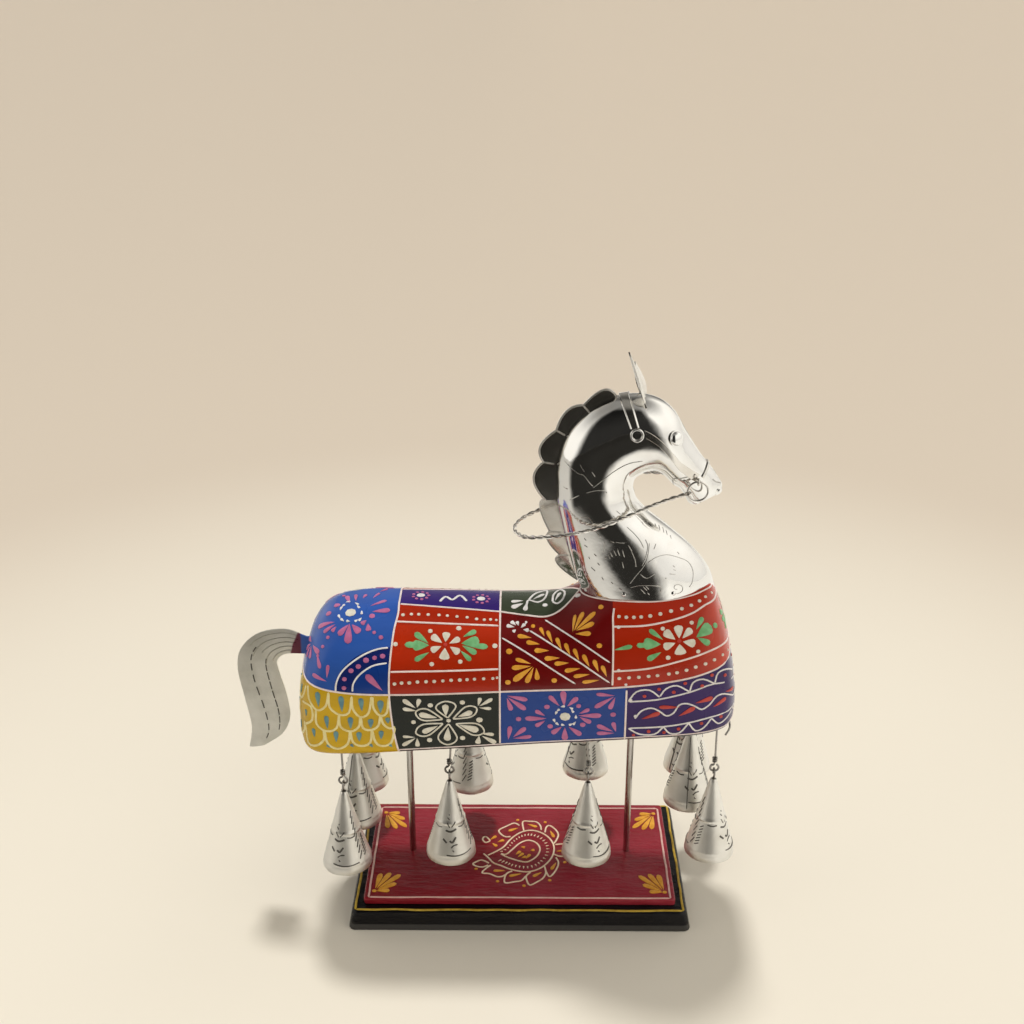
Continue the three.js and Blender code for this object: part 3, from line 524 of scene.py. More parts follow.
# The chest is painted lighter towards its front end: a painted highlight where the light falls on
# the chest's front.
chest = fore.between(90, 118).pick(dark_orange, (0.56, 0.06, 0.025))
top_row = past_rear.pick(rump, past_chest.pick(back, chest))
belly_row = past_middle.pick((0.008, 0.011, 0.005), (0.008, 0.047, 0.25))
low_row = past_rear.pick((0.57, 0.355, 0.004), past_chest.pick(belly_row, (0.028, 0.006, 0.095)))
belly_line = (fore - TORSO_REAR) * ((BELLY_FRONT - BELLY_REAR) / TORSO_LENGTH) + BELLY_REAR
underside = up < belly_line + past_rear * 2.2 + 0.5
blocks = underside.pick(upper.pick(low_row, top_row), (0.01, 0.009, 0.01))
brush = place.grain(60, 4, (0.25, 1, 1))
worn = place.grain(24, 3)
strokes = brush.between(0.25, 0.75).pick((0.65, 0.65, 0.68), (1.15, 1.12, 1.1))
multiply = {"data_type": "RGBA", "blend_type": "MULTIPLY"}
shaded = strokes.node("Mix", multiply, {0: 0.5, 6: blocks, 7: strokes}, out=2)
coat(painted_wood, {
    "Base Color": shaded,
    "Roughness": worn * 0.2 + 0.16,
    "Normal": (brush + worn).relief(0.0004),
    "Specular IOR Level": 0.3,
    "Coat Weight": 0.12,
    "Coat Roughness": 0.08,
})
piece("torso_block", torso, painted_wood, nodes=["torso"])


# Panel lines: pinkish white enamel squeezed from a cone along every seam between two blocks of
# colour, round the neck's foot and along the belly's edge. The far side repeats the near side.
def lying_on(skin_tree):
    return lambda point: skin_tree.find_nearest(point)[:2]


on_torso = lying_on(torso_skin)


def cast(start, direction):
    return torso_skin.ray_cast(at(*start), Vector(direction))[0] or on_torso(at(*start))[0]


def from_side(x, z):
    return cast((x, -100, z), (0, 1, 0))


def from_above(x, y):
    return cast((x, y, 300), (0, 0, -1))


def from_behind(y, z):
    return cast((-200, y, z), (1, 0, 0))


def from_ahead(y, z):
    return cast((200, y, z), (-1, 0, 0))


def both_sides(bm):
    copied = bmesh.ops.duplicate(bm, geom=bm.verts[:] + bm.edges[:] + bm.faces[:])["geom"]
    mirrored = [v for v in copied if isinstance(v, bmesh.types.BMVert)]
    bmesh.ops.scale(bm, vec=(1, -1, 1), verts=mirrored)


def seam_at(x):
    return sum(c * (x / 100) ** n for n, c in enumerate(SIDE_SEAM))


def rear_seam_at(z):
    return REAR_SEAM + REAR_BOW * (z - REAR_BOW_AT) ** 2


LINE = 0.58
panel_lines = bmesh.new()
rising = [from_side(rear_seam_at(z), z) for z in range(112, 187, 6)]
crossing = [from_above(rear_seam_at(192), y) for y in (-16, -10, -4, 0)]
line(panel_lines, rising + crossing, LINE, on_torso, fine=3)
rising = [from_side(MIDDLE_SEAM, z) for z in range(119, 184, 6)]
crossing = [from_above(MIDDLE_SEAM, y) for y in (-22, -16, -10, -4, 0)]
line(panel_lines, rising + crossing, LINE, on_torso, fine=3)
rising = [from_side(CHEST_SEAM_UP, z) for z in range(157, 194, 4)]
top = on_torso(at(CHEST_SEAM_UP, -25, 199))[0]
line(panel_lines, rising + [top], LINE, on_torso, fine=3)
line(panel_lines, [from_side(CHEST_SEAM_LOW, z) for z in range(122, 155, 4)], LINE, on_torso)
behind = [from_behind(y, 154.6) for y in (0, -8, -16, -24)]
beside = [from_side(x, seam_at(x)) for x in range(-116, 117, 8)]
ahead = [from_ahead(y, seam_at(119)) for y in (-20, -12, -5, 0)]
line(panel_lines, behind + beside + ahead, LINE, on_torso, fine=3)


def strip_at(x):
    wide = min(STRIP_FULL, STRIP_START + (x - STRIP_FROM) * STRIP_SPREAD)
    wide += max(0, x - MIDDLE_SEAM) * STRIP_SWELL
    return wide * (1 - (max(0, x - STRIP_TAPER) / (STRIP_END - STRIP_TAPER)) ** 2)


strip_line = [from_above(x, -strip_at(x)) for x in (*range(-67, 29, 4), 29, 31, 32.5, STRIP_END)]
line(panel_lines, strip_line, LINE, on_torso, fine=2)
edge_of_belly = [torso_point(t / 2, 0.115) for t in range(14, 41)]
line(panel_lines, edge_of_belly, LINE * 0.8, on_torso, fine=2)
NECK_FOOT = (38.8, 23.7)
round_foot = [math.radians(a) for a in range(0, 181, 6)]
neck_foot = [
    at(x, -NECK_FOOT[1] * math.sin(a), seat_at(x))
    for x, a in [(SEAT_X + NECK_FOOT[0] * math.cos(a), a) for a in round_foot]
]
line(panel_lines, neck_foot, LINE * 0.8, on_torso, fine=2)
# Lines inside the two orange blocks, each as points along, outward and up.
BAND_LINES = [
    [(-68.6, -20, 185.9), (-38.7, -20.8, 185.2), (-11.7, -21.2, 184.3)],
    [(-71.4, -38, 164.3), (-38.3, -38, 165.2), (-11.5, -38, 166.3)],
    [(50.8, -29.6, 188.5), (70.5, -30.6, 190.3), (92.5, -26.3, 194.6), (106.5, -15.2, 198.5),
     (111, -6, 199), (112, 0, 199)],
    [(50.8, -38, 165.7), (70.8, -38.1, 167.8), (92.4, -37, 173.6), (106.2, -32.9, 177.5),
     (115.7, -20.1, 176.6), (119, -8, 175.5), (120, 0, 175)],
]
for points in BAND_LINES:
    line(panel_lines, [at(*p) for p in points], LINE, on_torso, fine=8)
both_sides(panel_lines)
piece("panel_lines", panel_lines, pale_enamel)


# Painted ornament: flowers, sprays, scales and waves in raised enamel, one brush stroke or dot at a
# time. The strokes are laid out as they are seen from the viewing point and copied to the far side.
VIEW_POINT = Vector((0.000329, -0.677165, 0.541856))
VIEW_TURN = Euler((math.pi / 2 - 0.41481, 0, 0.00735))
VIEW_REACH, VIEW_MIDDLE = 1350, 512


def sighted(u, v, skin_tree=torso_skin):
    ray = VIEW_TURN.to_matrix() @ Vector(
        ((u - VIEW_MIDDLE) / VIEW_REACH, (VIEW_MIDDLE - v) / VIEW_REACH, -1)
    )
    seen = skin_tree.ray_cast(VIEW_POINT, ray.normalized())[0]
    return seen or lying_on(skin_tree)(VIEW_POINT + ray * 0.75)[0]


def scale_at(point):
    return (point - VIEW_POINT).length / VIEW_REACH / MM


# A stroke that stays clear of the ridge is painted on both sides.
def each_side(*seen):
    near = [sighted(u, v) for u, v in seen]
    yield near
    if max(point.y for point in near) < -12 * MM:
        yield [Vector((point.x, -point.y, point.z)) for point in near]


def paint_drops(bm, drops):
    for u1, v1, u2, v2, half in drops:
        width = half * scale_at(sighted(u1, v1))
        for thin, thick in each_side((u1, v1), (u2, v2)):
            drop(bm, thin, thick, width, on_torso)


def paint_dots(bm, dots):
    for u, v, radius in dots:
        size = radius * scale_at(sighted(u, v))
        for middle, beside in each_side((u, v), (u + 1, v)):
            dot(bm, middle, size, on_torso, (beside - middle).normalized())


def paint_lines(bm, lines, half, fine=3):
    for points in lines:
        width = half * scale_at(sighted(*points[0]))
        for path in each_side(*points):
            line(bm, path, width, on_torso, fine=fine)


def round_place(across, high, reach, turn, squash=1):
    return across + reach * math.cos(turn), high + reach * squash * math.sin(turn)


def dash_ring(u, v, radius, squash, count):
    dashes = []
    for k in range(count):
        t = (k + 0.25 * math.sin(k * 2.3)) / count * math.tau
        reach = radius + 1.2 * math.sin(k * 1.7)
        ends = [round_place(u, v, reach, t + s, squash) for s in (-0.2, 0.2)]
        dashes.append((*ends[0], *ends[1], 1.5))
    return dashes


RUMP_PETALS = [
    (370, 606.1, 386.8, 600.3, 2.4), (372.1, 611.8, 390.3, 610.1, 2.9),
    (349.6, 623.4, 347.9, 643.8, 3.9), (348.7, 624.4, 338.4, 635.3, 3.1),
    (351.7, 624.4, 359.9, 632.8, 3.5), (334.6, 622, 318.1, 627.6, 2.8),
    (335.2, 624.4, 323.4, 632.8, 2.2), (336.3, 626.6, 331.8, 631.8, 2.1),
    (366.5, 620.2, 361.3, 624.4, 2.4), (368, 623.4, 368.6, 631.1, 2.8),
    (349.6, 603.1, 346.8, 596, 2.4), (355.9, 601, 355.9, 594.6, 1.8),
    (363, 598.2, 366.5, 594.6, 1.7), (372.8, 598.2, 379.8, 593, 1.5),
    (379.8, 591.8, 388.2, 588.8, 1.3), (317.4, 653.6, 320.2, 668.7, 2.1),
    (326.8, 678.1, 328.2, 664.8, 1.8), (326.8, 681.4, 312.4, 673.9, 2.1),
    (382.6, 690.8, 365.8, 674.6, 3.4),
]
RUMP_DOTS = [
    (328.6, 613.6, 3.4), (337, 605.2, 3.5), (372.1, 616, 3.1), (374.2, 632.5, 2),
    (380.9, 637.4, 2.5), (327.9, 637.4, 2.1), (322.7, 646.6, 2), (317.8, 655.7, 1.8),
    (344, 688, 2.5), (344.4, 679.1, 2.5), (351, 670.7, 2.8), (358.3, 666.5, 2.8), (366, 660.2, 3.1),
    (374.6, 657.8, 2.5), (382.6, 656.1, 2.8), (344, 596, 2),
]
RUMP_ARCS = [
    [(335.6, 691.2), (336.3, 683), (340.8, 673.2), (348.9, 664.8), (360.2, 656.8), (370.7, 651.5),
     (379.8, 648.7), (388.2, 647.7)],
    [(352.4, 691.7), (353.1, 684.4), (357.6, 676.7), (365.8, 669.7), (374.9, 665.1),
     (387.1, 663.1)],
]
SCALES = [
    [(308.2, 685.1), (309.1, 698.5), (316.7, 710), (325.8, 705.8), (328.6, 692.2)],
    [(328.6, 692.9), (329.6, 706.9), (339.1, 714.5), (348.9, 712.5), (351.7, 695.9)],
    [(351.7, 696.4), (352.6, 708.3), (360.2, 717), (368.6, 712.8), (371.4, 696.5)],
    [(372.5, 696.8), (373.6, 708.3), (380.1, 715.6), (386.8, 712.5), (388.8, 697.4)],
    [(302.6, 700.6), (310.8, 706.2), (312.4, 719.5), (305.7, 723.7)],
    [(316, 710), (316.7, 723.7), (326.5, 731), (336.6, 727.9), (339.1, 715)],
    [(339.1, 714.8), (340.5, 726.5), (350.3, 731.3), (358.8, 726.8), (360.2, 717.3)],
    [(360.9, 717.6), (363, 727.9), (371.4, 729.9), (378.4, 725.4), (380.1, 715.9)],
    [(380.6, 716.2), (383.4, 724), (389.6, 728.2), (395, 726.5)],
    [(305.7, 724), (308.5, 742), (316.7, 745.3), (324, 739.4), (323.7, 729.9)],
    [(324.5, 730.5), (327.9, 743.4), (337.7, 748.7), (347.8, 743.7), (350.1, 730.7)],
    [(350.3, 731), (353.1, 742), (361.6, 745.9), (370.3, 742.3), (371.7, 729.9)],
    [(372.2, 730.2), (375.6, 742), (382.6, 745.9), (391.3, 742.3), (395, 727.2)],
]
SCALE_DROPS = [
    (318.6, 706.9, 317.6, 691.7, 2.4), (342.1, 712.2, 340.8, 695.9, 2.5),
    (362, 711.4, 360.6, 697.9, 2.4), (380.6, 713.2, 380.5, 700.2, 2.8), (306.6, 716, 306, 709, 1.4),
    (327.6, 729.1, 326.2, 715.6, 2.1), (350.8, 729.1, 350.3, 717, 2.4),
    (370.8, 728.2, 370.7, 718.8, 2.5), (388.2, 723.7, 387.4, 717.4, 2.1),
    (314.7, 737.2, 313.4, 728.2, 1.8), (336.4, 742.3, 335.9, 731, 2.2),
    (359.5, 741.7, 358.9, 731.9, 2.4), (381.2, 739.4, 381.2, 730.5, 2.2),
    (331, 747.9, 326.8, 744.5, 1.4), (353.8, 746.9, 350.6, 744.2, 1.4),
    (373.1, 747, 370, 744.2, 1.4), (392.4, 746.7, 389.3, 744.2, 1.4),
]
BAND_DOTS_UP = [
    (403, 615, 2.4), (411.4, 614.3, 2.2), (418.8, 614.4, 2.2), (428.2, 614.7, 2.2),
    (439, 615.1, 2.2), (447.4, 615.8, 2), (457, 616.7, 2.1), (467.1, 617.4, 2.1),
    (476.6, 619.1, 2.2), (484.3, 619.9, 2), (490.6, 619.6, 2), (496.3, 620.2, 1.7),
]
BAND_DOTS_LOW = [
    (394.5, 683.9, 2.4), (401.5, 682.9, 2.4), (409.3, 682.8, 2.5), (417.4, 681.9, 2.4),
    (426.1, 681.6, 2.4), (434.2, 681.4, 2.4), (442.9, 680.8, 2.2), (451.1, 680.2, 2.4),
    (459.8, 680, 2.5), (467.1, 679.5, 2.2), (474.5, 679.1, 2.1), (483.6, 678.7, 2.1),
    (492.8, 678.3, 2), (497, 677.6, 1.7),
]
SADDLE_PETALS = [
    (445.5, 642.1, 446.6, 632, 4.6), (449.3, 643.5, 460.1, 638.4, 3.6),
    (450, 646.8, 459.5, 653, 4.2), (444.9, 648, 444.2, 660, 6), (441.3, 646.3, 430.7, 650.8, 3.9),
    (442.2, 642.9, 431.4, 635.6, 4.2),
]
SADDLE_LEAVES = [
    (428.9, 645.4, 404.4, 644.6, 3.6), (429.2, 645.2, 412.4, 645.4, 6.2),
    (428.6, 643.5, 414.6, 632.8, 3.6), (429.2, 652.2, 414.6, 660.6, 3.1),
    (462.9, 637, 476.3, 630.8, 3.1), (461.2, 643.5, 479.4, 640.9, 6.2),
    (464, 644.9, 488.1, 646.8, 3.4), (462, 645.4, 476.6, 653.6, 3.4),
    (460.3, 650.5, 471, 660.6, 2.9),
]
SADDLE_DOTS = [
    (395.5, 644.2, 2.5), (430.3, 631.1, 2.5), (458.8, 628.3, 2.8), (494.9, 645.9, 2.8),
    (431.7, 664.1, 2.5), (460.2, 661.6, 2.5),
]
BELLY_OUTLINES = [
    (447.7, 717.8, 444.9, 701.3, 9.8), (452.8, 718.8, 476.6, 708, 6.2),
    (455.6, 723.7, 484.2, 731.9, 6.7), (448.6, 723.7, 447.1, 744.5, 9.3),
    (443.2, 723.4, 416, 733.3, 6.7), (442.9, 719.2, 415.6, 712.2, 6.7),
]
BELLY_DROPS = [
    (446, 716, 445.2, 704.4, 3.8), (457.7, 716.7, 472.4, 711.8, 3.4),
    (459.1, 724.9, 478.7, 730.5, 4.2), (448.1, 727.2, 447.1, 740.8, 4.1),
    (438, 725.8, 422.2, 732.4, 3.4), (437.3, 717.8, 418.8, 714.2, 3.6),
    (416.3, 710.8, 402.5, 708.6, 2.4), (415.6, 708, 402.7, 699.6, 2.9),
    (417, 707.6, 419.4, 698.8, 2.8), (478, 705.8, 480.3, 697.4, 2.4),
    (479.1, 706.2, 492.6, 698.5, 2.4), (478.7, 707.6, 491.5, 708.6, 2),
    (415.2, 737.2, 402.5, 736.4, 1.7), (415.6, 738, 402.2, 745.6, 2.4),
    (417.1, 738, 417.7, 746.5, 2.7), (480.8, 733.3, 494.3, 734.4, 2.2),
    (481.9, 735.8, 496.3, 742.8, 2.9), (479.1, 735.8, 477.7, 743.7, 3.2),
]
BELLY_DOTS = [
    (448.6, 720.5, 2.4), (430.3, 705.2, 2.8), (462.3, 702.3, 2.8), (479.4, 719.8, 3.4),
    (413.5, 722, 2.5), (429.6, 739.9, 2.8), (462.6, 737.8, 2.8),
]
WITHERS_DROPS = [
    (523.3, 600.7, 511.1, 601.8, 2.6), (523.3, 603.5, 511.5, 607.9, 3.3),
    (527.1, 603, 524.8, 610.8, 2.8), (532.6, 599.7, 544.5, 594.2, 2.1),
    (555.1, 600.7, 560.6, 592.6, 2.1),
]
WITHERS_LOOPS = [
    [(528.7, 600.2), (536.3, 593.2), (546.9, 590.9), (545.3, 597.8), (538, 602.3), (528.7, 600.2),
     (526.6, 605.1)],
    [(552.6, 601.8), (553.8, 594.5), (559.9, 590), (564.8, 592.1), (563.2, 598.6), (557.5, 603.5),
     (552.6, 601.8)],
]
WITHERS_DOTS = [(545, 605.2, 2.8), (577.8, 595.5, 3.3)]
SHOULDER_LINES = [
    [(544.5, 619.7), (566.4, 633.5), (589.2, 648.5), (610.3, 662.8)],
    [(529, 630.3), (555.1, 646.6), (582.7, 664.4), (610.3, 683.1)],
    [(501.4, 637.6), (525.8, 652.2), (550.2, 668), (575.9, 684)],
]
SHOULDER_LEAVES = [
    (561.6, 650.1, 556.4, 637.6, 2.4), (570.3, 655.7, 565.1, 643, 2.4),
    (579.1, 660.5, 573.9, 648.5, 2.4), (589.5, 667, 583, 654.4, 2.6),
    (598.6, 671.9, 593.8, 659.6, 2.6), (606.8, 676.8, 601.9, 665.4, 2.4),
    (552.6, 643.3, 547.2, 630.6, 2.3), (544.5, 636.5, 540.1, 627.4, 2.1),
    (531.6, 637.8, 517.3, 635.8, 2.6), (539.8, 644.3, 526.1, 642, 2.6),
    (549.2, 650.6, 534.2, 650.5, 2.8), (559.9, 657.9, 544.3, 658.6, 2.8),
    (569, 662.8, 554.1, 663.8, 2.6), (580.4, 668.3, 564.5, 671, 2.6),
    (589.9, 674.2, 573.3, 676.5, 2.4), (599.6, 679.9, 582, 682.3, 2.3),
    (572.6, 632.2, 575.5, 614.4, 2), (574.2, 630.6, 583.7, 611.8, 2.8),
    (575.2, 630.3, 595.7, 611.8, 2.9), (576.2, 630.6, 594.4, 622.8, 2.9),
    (575.2, 633.9, 591.2, 633.5, 2.8), (531, 663.8, 515.4, 658.9, 2.4),
    (531, 666.1, 511.5, 668, 2.9), (532.6, 666.7, 513.1, 681, 3.6), (533.6, 667.4, 526.1, 683, 3.1),
    (536.2, 668, 537.5, 680.1, 2.9),
]
SHOULDER_DOTS = [
    (600.9, 607, 2.9), (599.3, 645.7, 2.9), (533.1, 626.2, 2.3), (509.2, 651.4, 3.3),
    (507.9, 682.3, 2.9), (554.2, 680.4, 2.9),
]
SHOULDER_LACE = [
    (514.4, 627, 506.3, 625.7, 2.3), (516, 625.4, 510.8, 621.3, 2.3),
    (518.5, 625.7, 516.8, 621.3, 2.1), (520.9, 627.9, 525, 623.8, 2), (516, 629.5, 512.8, 632.2, 2),
    (523.3, 629.5, 529, 630.6, 2.3), (525, 624.6, 526.6, 621.3, 1.5),
]
CHEST_DOTS_UP = [
    (619, 616.6, 2.3), (626.3, 617.3, 2.4), (633.9, 617.4, 2.4), (641.2, 617, 2.4),
    (650.2, 616, 2.6), (660.3, 614, 2.6), (671, 611.1, 2.6), (681.9, 608.8, 2.4),
    (691.2, 605.4, 2.4), (699.5, 601, 2.3), (705.5, 596.8, 2), (711.5, 592.6, 2),
]
CHEST_DOTS_LOW = [
    (619.3, 678.4, 2.4), (629, 677.6, 2.4), (638.8, 677.1, 2.4), (648.6, 676.2, 2.4),
    (657.5, 675.5, 2.3), (668.9, 673.9, 2.4), (677, 672.6, 2.4), (686.5, 670.1, 2.4),
    (695.7, 667, 2.4), (705.5, 663.8, 2.4), (714.4, 659.7, 2.3), (722.6, 654.7, 2.1),
    (727.8, 649.8, 1.8),
]
CHEST_PETALS = [
    (679.1, 638.4, 678.2, 625.1, 5.2), (682.2, 638.4, 691.7, 628.7, 4.2),
    (682.9, 641.7, 695.6, 643.6, 4.9), (679.6, 644.1, 680.6, 655, 6.8),
    (675.4, 643, 663.4, 647.5, 4.6), (675.4, 639.7, 664, 631.1, 4.9),
]
CHEST_LEAVES = [
    (660.4, 644.6, 636.4, 645.6, 2.9), (660.8, 644.3, 643.2, 643.6, 6.8),
    (663, 639.7, 649.1, 629.6, 2.9), (661.4, 652.1, 647.1, 659.9, 3.4),
    (613.6, 650.1, 632.5, 646.2, 2.6), (696.2, 637.4, 711.2, 625.7, 7.2),
    (696.2, 629.6, 702.7, 617, 2.9), (697.4, 637.6, 709.9, 644, 3.7),
]
CHEST_GREEN_DOTS = [(639.9, 645.4, 3.1), (715.2, 625.4, 3.3), (722.6, 618.9, 2.8)]
CHEST_DOTS = [(662.7, 628.7, 2.3), (691.7, 622.7, 2.3), (668.1, 657.6, 2.6), (698.2, 651.4, 2.3)]
FLANK_PETALS = [
    (564.3, 706.4, 563, 690.8, 3.6), (567.1, 706.4, 577.8, 697.3, 3.1),
    (559.6, 706.1, 548.9, 695.7, 2.8), (578.1, 715.5, 601.6, 715.5, 3.1),
    (579.1, 713.6, 589.5, 709, 2.4), (579.8, 717.1, 591.2, 722.7, 2.8),
    (546.6, 718.4, 524.8, 718.4, 3.1), (545, 715.8, 535.2, 710.3, 2.6),
    (545, 720.7, 535.2, 726.2, 2.6), (564.8, 727.2, 564.8, 739.9, 3.6),
    (568.4, 726.6, 581.4, 735, 3.1), (561.9, 726.6, 551.5, 733.4, 3.1),
    (506.9, 695.7, 527.7, 699.9, 2.8), (507.6, 697.3, 526.1, 709.7, 3.1),
    (506.9, 697.9, 511.5, 710.6, 2.9), (614.9, 695.7, 596, 694, 2.3),
    (614.2, 696.6, 594.4, 707.7, 2.9), (615.2, 697.3, 609.4, 709.3, 2.8),
    (508.2, 739.6, 510.3, 725.9, 2.8), (513.1, 737, 525.8, 727.5, 2.9),
    (513.1, 738.3, 531.6, 736.3, 2.4), (615.9, 731.8, 612.9, 722, 2.6),
    (612.9, 731.4, 596.7, 725.3, 2.9), (614.2, 733.1, 596.4, 733.1, 2.4),
]
FLANK_DOTS = [
    (578.6, 705.9, 2.6), (582.7, 724.6, 2.9), (546.9, 706.7, 2.9), (550.2, 726.2, 2.9),
    (518.5, 718.9, 2.8), (613.1, 714.5, 2.9),
]
LOIN_SCALLOPS = [
    [(628.2, 701.5), (636.4, 691.8), (649.4, 690.1), (659.9, 697.3)],
    [(659.9, 696.6), (666, 688.8), (677, 685.6), (689.7, 691.8)],
    [(689.7, 691.4), (693.3, 682.3), (703.4, 679.1), (714.8, 683.6)],
    [(714.8, 683), (718, 672.9), (726.1, 669), (733.3, 669)],
    [(627.9, 701.8), (657.5, 699.6), (690, 692.1), (714.4, 683.6), (733.3, 674.9)],
    [(628.2, 728.2), (639.6, 734.1), (654.3, 734.1), (663.4, 726.6)],
    [(663.4, 726.6), (669.5, 733.1), (679.3, 732.7), (688.7, 723)],
    [(688.7, 723), (695.2, 730.5), (703.7, 727.5), (711.5, 718.1)],
    [(711.5, 718.1), (718, 723.3), (724.5, 719.7), (731.3, 709.3)],
    [(628.2, 728.2), (663.4, 726.6), (688.7, 722.7), (711.5, 716.8), (732.3, 705.4)],
]
LOIN_WAVE = [
    [(634.7, 718.8), (641.2, 711), (651, 708), (659.1, 711), (666.5, 715.8), (673.8, 712.6),
     (679, 705.1), (686.8, 703.5), (694.9, 706.1), (701.7, 709.3), (709.5, 704.5), (716.4, 696.3),
     (724.5, 693.7), (733, 694.7)],
]
LOIN_STROKES = [
    (641.2, 719.1, 660.4, 712.6, 2.8), (680.6, 707.1, 658.8, 707.1, 2.4),
    (678.3, 716.2, 695.2, 707.1, 2.9), (695.2, 703.2, 713.1, 697.3, 2.9),
    (712.8, 707.1, 726.1, 697.3, 2.6), (725.2, 691.4, 733, 687.2, 2.3),
]
LOIN_DOTS = [
    (644.5, 696.2, 2), (659.1, 689.2, 2), (673.8, 692.1, 2.1), (685.2, 683.3, 2),
    (702.2, 685.9, 2.1), (712, 675, 2.1), (725, 675, 2.1), (633.4, 735, 1.8), (648.6, 731.4, 2),
    (664, 732.4, 1.8), (678.6, 728.8, 2), (701.4, 723.3, 2), (720.9, 716.5, 2),
]

pink_enamel = enamel("pink_enamel", (0.54, 0.16, 0.33), (0.45, 0.12, 0.25))
pinks = bmesh.new()
paint_drops(pinks, [(*ends, half * 1.15) for *ends, half in RUMP_PETALS] + FLANK_PETALS)
paint_dots(pinks, RUMP_DOTS + FLANK_DOTS)
# The end of the rump has a fan of petals on each side of the tail.
RUMP_FAN_Z = 172
for y in (-19, 19):
    for turn in [math.radians(a) for a in range(-170, 0, 40)]:
        ends = [from_behind(*round_place(y, RUMP_FAN_Z, reach, turn)) for reach in (2, 9)]
        drop(pinks, *ends, 1.7, on_torso)
piece("ornament_pink", pinks, pink_enamel)

# Where a line was begun the paint ran out as a blob.
LINE_ENDS = [
    (618.6, 627.2, 2), (618.6, 670.6, 2), (635.6, 716.2, 2), (630.7, 700.3, 1.8),
    (625.9, 684.6, 1.6),
]
white_enamel = enamel("white_enamel", (0.86, 0.83, 0.8), (0.72, 0.68, 0.65))
whites = bmesh.new()
paint_lines(whites, RUMP_ARCS, 0.95)
paint_lines(whites, SHOULDER_LINES, 0.9)
paint_lines(whites, LOIN_SCALLOPS + LOIN_WAVE, 0.9)
paint_drops(whites, SHOULDER_LACE)
paint_dots(whites, LINE_ENDS)


# The rows on the chest run on round the front and meet those of the other side.
def round_front(bm, end, swell, bend):
    path = []
    for k in range(33):
        rise = swell * bend(math.sin(k / 8 * math.pi))
        path.append(from_ahead(end.y * (1 - k / 16) / MM, end.z / MM + rise))
    line(bm, path, 0.5, on_torso, fine=2)


for row, swells in (((733, 674.9), (0, 6)), ((732, 706), (0, -6))):
    for swell in swells:
        round_front(whites, sighted(*row), swell, abs)
round_front(whites, sighted(733, 694.7), 3.5, float)
paint_drops(whites, dash_ring(350.5, 612.5, 11.5, 0.88, 11) + dash_ring(565.1, 716.5, 11, 0.88, 11))
piece("ornament_white", whites, white_enamel)

straw_enamel = enamel("straw_enamel", (0.82, 0.74, 0.38), (0.72, 0.6, 0.24))
straws = bmesh.new()
paint_lines(straws, SCALES, 1.3)
SCALE_ROWS = [(151, range(-24, 25, 12)), (139.5, range(-18, 19, 12)), (128, range(-24, 25, 12))]
SCALE_EDGE = [(-5.8, 0), (-5.3, -5.5), (-3, -9.3), (0, -10.4), (3, -9.3), (5.3, -5.5), (5.8, 0)]
for z, row in SCALE_ROWS:
    for y in row:
        line(straws, [from_behind(y + dy, z + dz) for dy, dz in SCALE_EDGE], 0.8, on_torso, fine=2)
piece("ornament_straw", straws, straw_enamel)


def outline(bm, foot, tip, half, width, surface):
    across = surface(foot)[1].cross(tip - foot).normalized() * half * MM
    shares = [(0, 0), (0.3, 0.55), (0.62, 1), (0.86, 0.78), (1, 0)]
    ring = [foot.lerp(tip, s) + across * w for s, w in shares]
    ring += [foot.lerp(tip, s) - across * w for s, w in reversed(shares[:-1])]
    line(bm, ring, width, surface, fine=3)


creams = bmesh.new()
bands_of_dots = BAND_DOTS_UP + BAND_DOTS_LOW + CHEST_DOTS_UP + CHEST_DOTS_LOW
paint_dots(creams, [(u, v, radius * 0.85) for u, v, radius in bands_of_dots])
paint_dots(creams, SADDLE_DOTS + BELLY_DOTS + CHEST_DOTS)
paint_drops(creams, SADDLE_PETALS + CHEST_PETALS + BELLY_DROPS)
FRONT_FLOWER_Z = 186
for turn in [math.radians(a) for a in range(30, 390, 60)]:
    ends = [from_ahead(*round_place(0, FRONT_FLOWER_Z, reach, turn)) for reach in (1.8, 7)]
    drop(creams, *ends, 2.2, on_torso)
paint_dots(creams, [(350.6, 612.6, 5.6), (565.1, 716.5, 5.4)])
for u1, v1, u2, v2, half in BELLY_OUTLINES:
    wide = half * scale_at(sighted(u1, v1))
    for foot, tip in each_side((u1, v1), (u2, v2)):
        outline(creams, foot, tip, wide, 0.5, on_torso)
piece("ornament_cream", creams, cream_enamel)

teal_enamel = enamel("teal_enamel", (0.14, 0.3, 0.3), (0.08, 0.19, 0.25))
teals = bmesh.new()
paint_drops(teals, [(*ends, half * 1.3) for *ends, half in SCALE_DROPS])
for z, row in SCALE_ROWS:
    for y in row:
        drop(teals, from_behind(y, z - 8.5), from_behind(y, z - 2.5), 1.3, on_torso)
piece("ornament_teal", teals, teal_enamel)

leaf_enamel = enamel("leaf_enamel", (0.22, 0.53, 0.24), (0.14, 0.39, 0.15))
leaves = bmesh.new()
paint_drops(leaves, SADDLE_LEAVES + CHEST_LEAVES)
paint_dots(leaves, CHEST_GREEN_DOTS)
for side in (-1, 1):
    for rise in (-5, 0, 5):
        foot = from_ahead(side * 9, FRONT_FLOWER_Z + rise * 0.3)
        drop(leaves, foot, from_ahead(side * 17, FRONT_FLOWER_Z + rise), 2, on_torso)
piece("ornament_leaf", leaves, leaf_enamel)

golds = bmesh.new()
paint_drops(golds, SHOULDER_LEAVES)
paint_dots(golds, SHOULDER_DOTS)
piece("ornament_gold", golds, amber_enamel)

